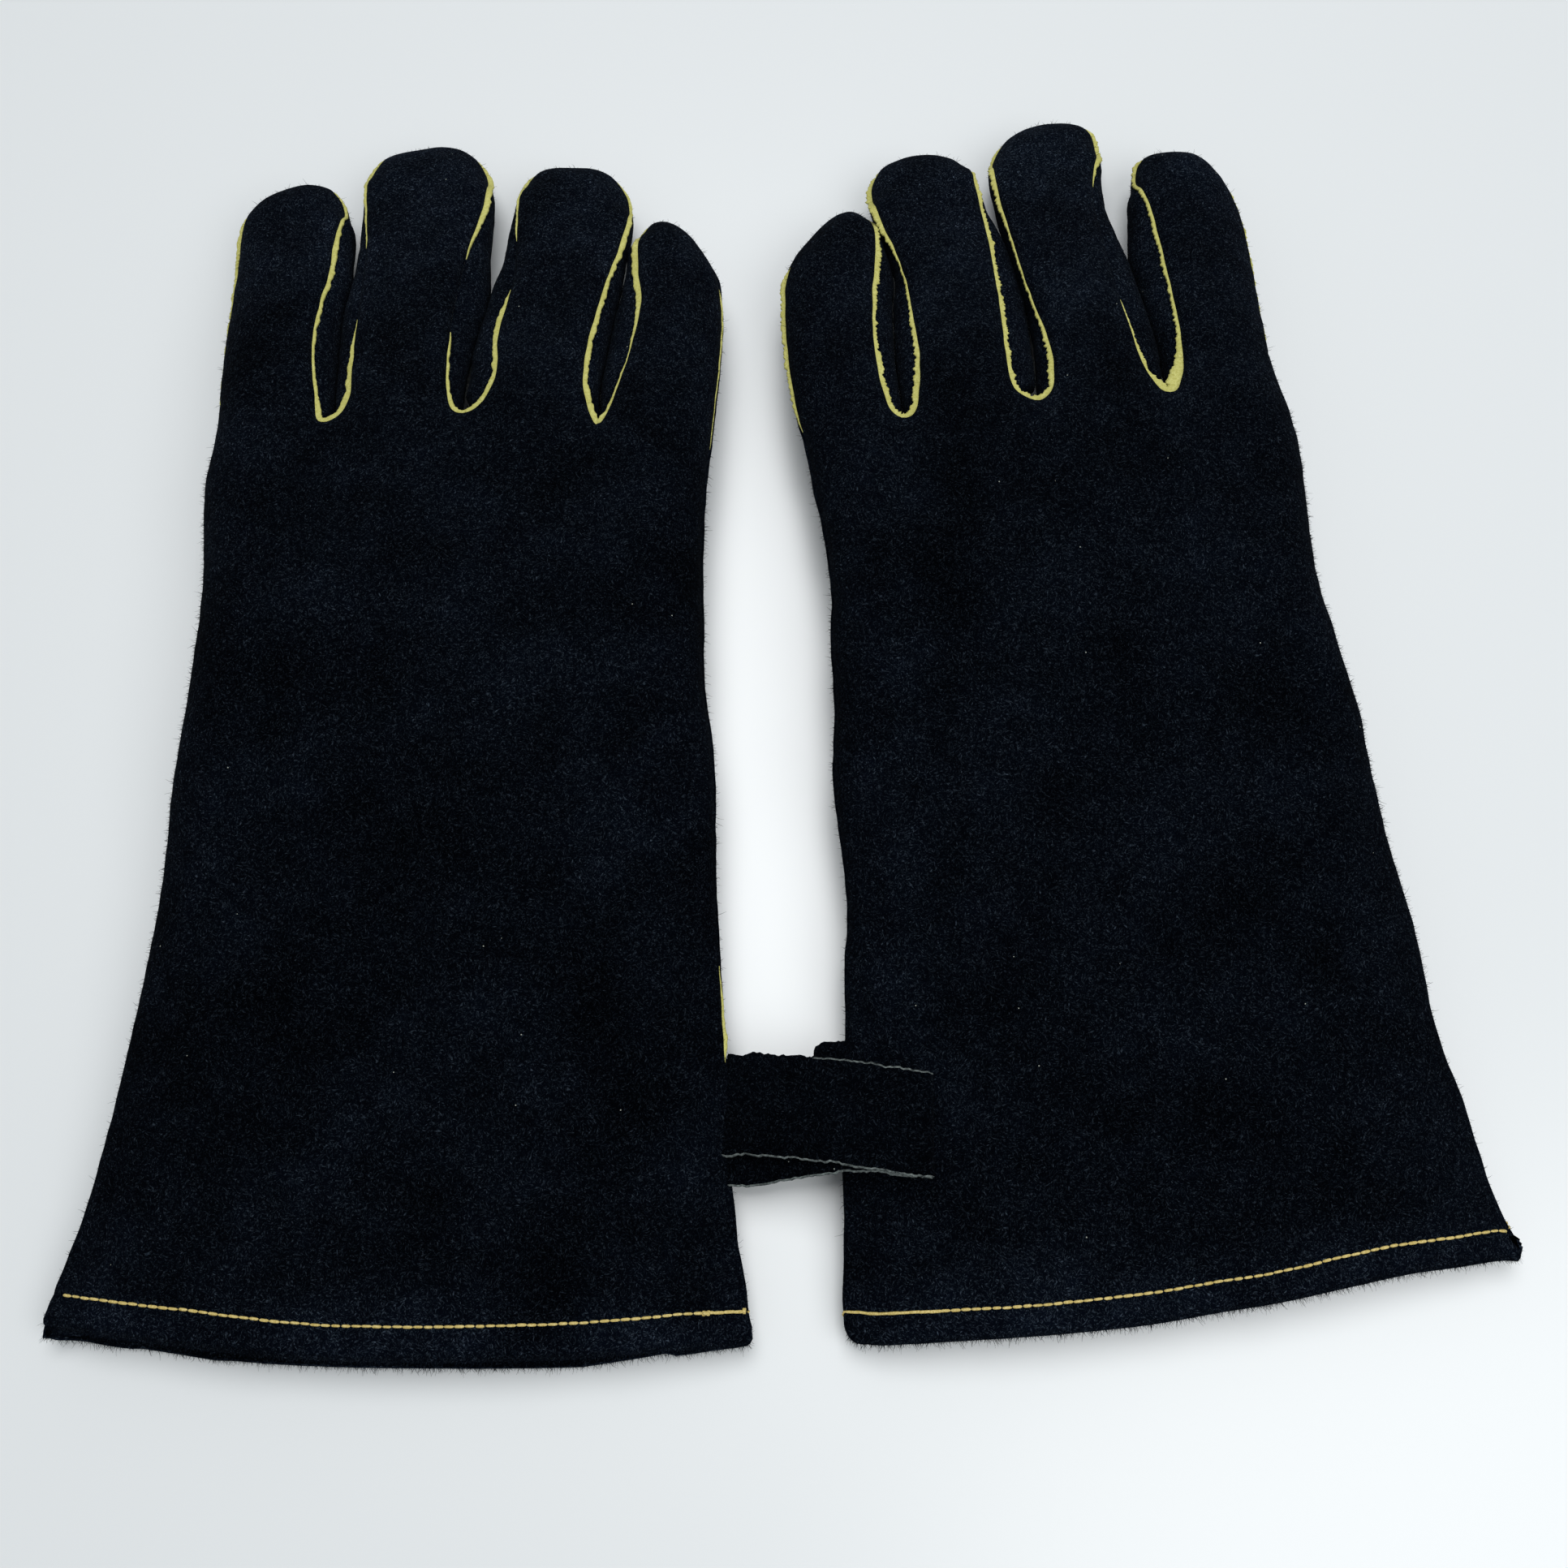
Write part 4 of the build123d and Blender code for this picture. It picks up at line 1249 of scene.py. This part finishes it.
def suede_material():
    """Black split leather: a short nap in swirling strokes, with rubbed and dark patches."""
    material, n, inputs = new_material("black_suede")
    place = n.coordinates
    bend = n.vector("SUBTRACT", n.noise(place, 500, 2)[1], (0.5, 0.5, 0.5))
    bent = n.vector("ADD", place, n.vector("SCALE", bend, 0.0011))
    layers = [
        n.strokes(bent, shift, cells, scale)
        for shift, cells, scale in (
            ((0.3, 0.1, 0.2), 600, (3300, 780, 1900)),
            ((0.7, 0.9, 0.4), 740, (4000, 950, 2200)),
            ((1.3, 0.2, 0.8), 480, (2800, 640, 1700)),
        )
    ]
    strokes = n.math("MAXIMUM", n.math("MAXIMUM", layers[0], layers[1]), layers[2])
    nap_light = n.math("POWER", n.range(strokes, 0.56, 0.84), 1.9)
    grain = n.noise(place, 1500, 3, 0.6)[0]
    patches = n.noise(place, 30, 5, 0.62)[0]
    blotch = n.noise(place, 110, 4, 0.65)[0]
    shade = n.math("MULTIPLY", n.range(patches, 0.34, 0.66), n.range(blotch, 0.3, 0.7, 0.35, 1.0))
    amount = n.math("MULTIPLY", nap_light, n.range(shade, 0, 1, 0.35, 1.0))
    dark = n.mix(shade, (0.0002, 0.0004, 0.0010, 1), (0.0012, 0.0022, 0.0048, 1))
    light = n.mix(n.range(grain, 0.3, 0.7), (0.011, 0.019, 0.032, 1), (0.084, 0.112, 0.146, 1))
    colour = n.mix(amount, dark, light)
    # The attribute scales the colour: wear of the nap, and on the palm's hem painted light.
    wear_and_painted_light = n.nodes.new("ShaderNodeAttribute")
    wear_and_painted_light.attribute_name = "wear_and_painted_light"
    colour = n.vector("SCALE", colour, n.range(wear_and_painted_light.outputs["Fac"], 0, 2, 0.6, 3.0))
    distance, tint = n.cells(place, 190)
    chosen = n.math("GREATER_THAN", n.red(tint), 0.8)
    speck = n.math("MULTIPLY", n.math("LESS_THAN", distance, 0.032), chosen)
    colour = n.mix(speck, colour, (0.30, 0.32, 0.28, 1))
    n.plug(colour, inputs["Base Color"])
    inputs["Roughness"].default_value = 0.95
    inputs["Specular IOR Level"].default_value = 0.008
    inputs["Sheen Weight"].default_value = 0.008
    inputs["Sheen Roughness"].default_value = 0.5
    inputs["Sheen Tint"].default_value = (0.62, 0.72, 0.85, 1)
    lumps = n.noise(place, 420, 3, 0.6)[0]
    first = n.bump(lumps, 0.0006, 0.5)
    n.plug(n.bump(strokes, 0.0005, 0.8, first), inputs["Normal"])
    return material


def plain_cloth(name, dark, light, scale, roughness, bump):
    """Mottled between two colours, with a fine relief."""
    material, n, inputs = new_material(name)
    coarse = n.noise(n.coordinates, scale * 0.15, 3)[0]
    fine = n.noise(n.coordinates, scale, 3, 0.65)[0]
    factor = n.math("MULTIPLY", n.range(coarse, 0.3, 0.7, 0.5, 1.0), n.range(fine, 0.3, 0.7))
    n.plug(n.mix(factor, dark, light), inputs["Base Color"])
    inputs["Roughness"].default_value = roughness
    inputs["Specular IOR Level"].default_value = 0.2
    n.plug(n.bump(fine, bump, 0.7), inputs["Normal"])
    return material


MATERIALS = {
    "suede": suede_material(),
    "welt": plain_cloth("yellow_welt", (0.42, 0.40, 0.095, 1), (0.66, 0.65, 0.24, 1), 1400, 0.85, 0.0003),
    "thread": plain_cloth("yellow_thread", (0.42, 0.31, 0.07, 1), (0.84, 0.70, 0.32, 1), 2200, 0.6, 0.0001),
    "lining": plain_cloth("cotton_lining", (0.35, 0.33, 0.29, 1), (0.60, 0.58, 0.52, 1), 900, 0.95, 0.0003),
    "cut_edge": plain_cloth("cut_edge", (0.006, 0.009, 0.011, 1), (0.24, 0.28, 0.27, 1), 900, 0.9, 0.0002),
}


# ------------------------------------------------------------------ the two gloves

BACK_NODES = {"hand": ["cuff_back", "hand_back"], **{f: [f"{f}_back"] for f in FINGERS}}
PALM_NODES = {"hand": ["cuff_palm", "hand_palm"], **{f: [f"{f}_front"] for f in FINGERS}}
for glove in (Glove("right", RIGHT), Glove("left", LEFT)):
    leathers(glove, top_surface, 1, "back", BACK_NODES)
    leathers(glove, palm_surface, -1, "palm", PALM_NODES)
    welts(glove)
    hem_stitches(glove)
    linings(glove)
    thumb(glove)
    hang_loop(glove, *LOOPS[glove.side])


# ------------------------------------------------------------------ floor, light and camera

def floor_material():
    material, n, inputs = new_material("pale_floor")
    fade = n.noise(n.coordinates, 1.6, 1)[0]
    n.plug(n.mix(fade, (0.755, 0.785, 0.80, 1), (0.79, 0.82, 0.83, 1)), inputs["Base Color"])
    inputs["Roughness"].default_value = 0.3
    inputs["Specular IOR Level"].default_value = 1.0
    return material


bpy.ops.mesh.primitive_plane_add(size=6, location=(0, 0, 0))
floor = bpy.context.object
floor.name = "floor"
floor.data.materials.append(floor_material())

world = bpy.data.worlds.new("soft_room")
world.use_nodes = True
world.node_tree.nodes["Background"].inputs[0].default_value = (0.93, 0.97, 1.0, 1)
world.node_tree.nodes["Background"].inputs[1].default_value = 0.34
bpy.context.scene.world = world


def area_light(name, size, power, place, target=(0, 0, 0)):
    light = bpy.data.lights.new(name, "AREA")
    light.shape = "DISK"
    light.size = size
    light.energy = power
    thing = bpy.data.objects.new(name, light)
    bpy.context.scene.collection.objects.link(thing)
    thing.location = place
    thing.rotation_euler = (Vector(target) - Vector(place)).to_track_quat("-Z", "Y").to_euler()


area_light("window", 1.0, 6.0, (0.6, -0.5, 1.1), (0.1, -0.1, 0))
area_light("ceiling", 1.2, 15.5, (-0.05, 0.48, 1.6))

CAMERA_PLACE = (-0.00206, -0.16667, 0.41394)
CAMERA_PITCH = 72
camera = bpy.data.objects.new("camera", bpy.data.cameras.new("camera"))
bpy.context.scene.collection.objects.link(camera)
camera.data.sensor_width = 36
camera.data.lens = 35.4
camera.data.clip_start = 0.01
camera.location = CAMERA_PLACE
camera.rotation_euler = (math.radians(90 - CAMERA_PITCH), 0, 0)
bpy.context.scene.camera = camera
bpy.context.scene.view_settings.view_transform = "Standard"
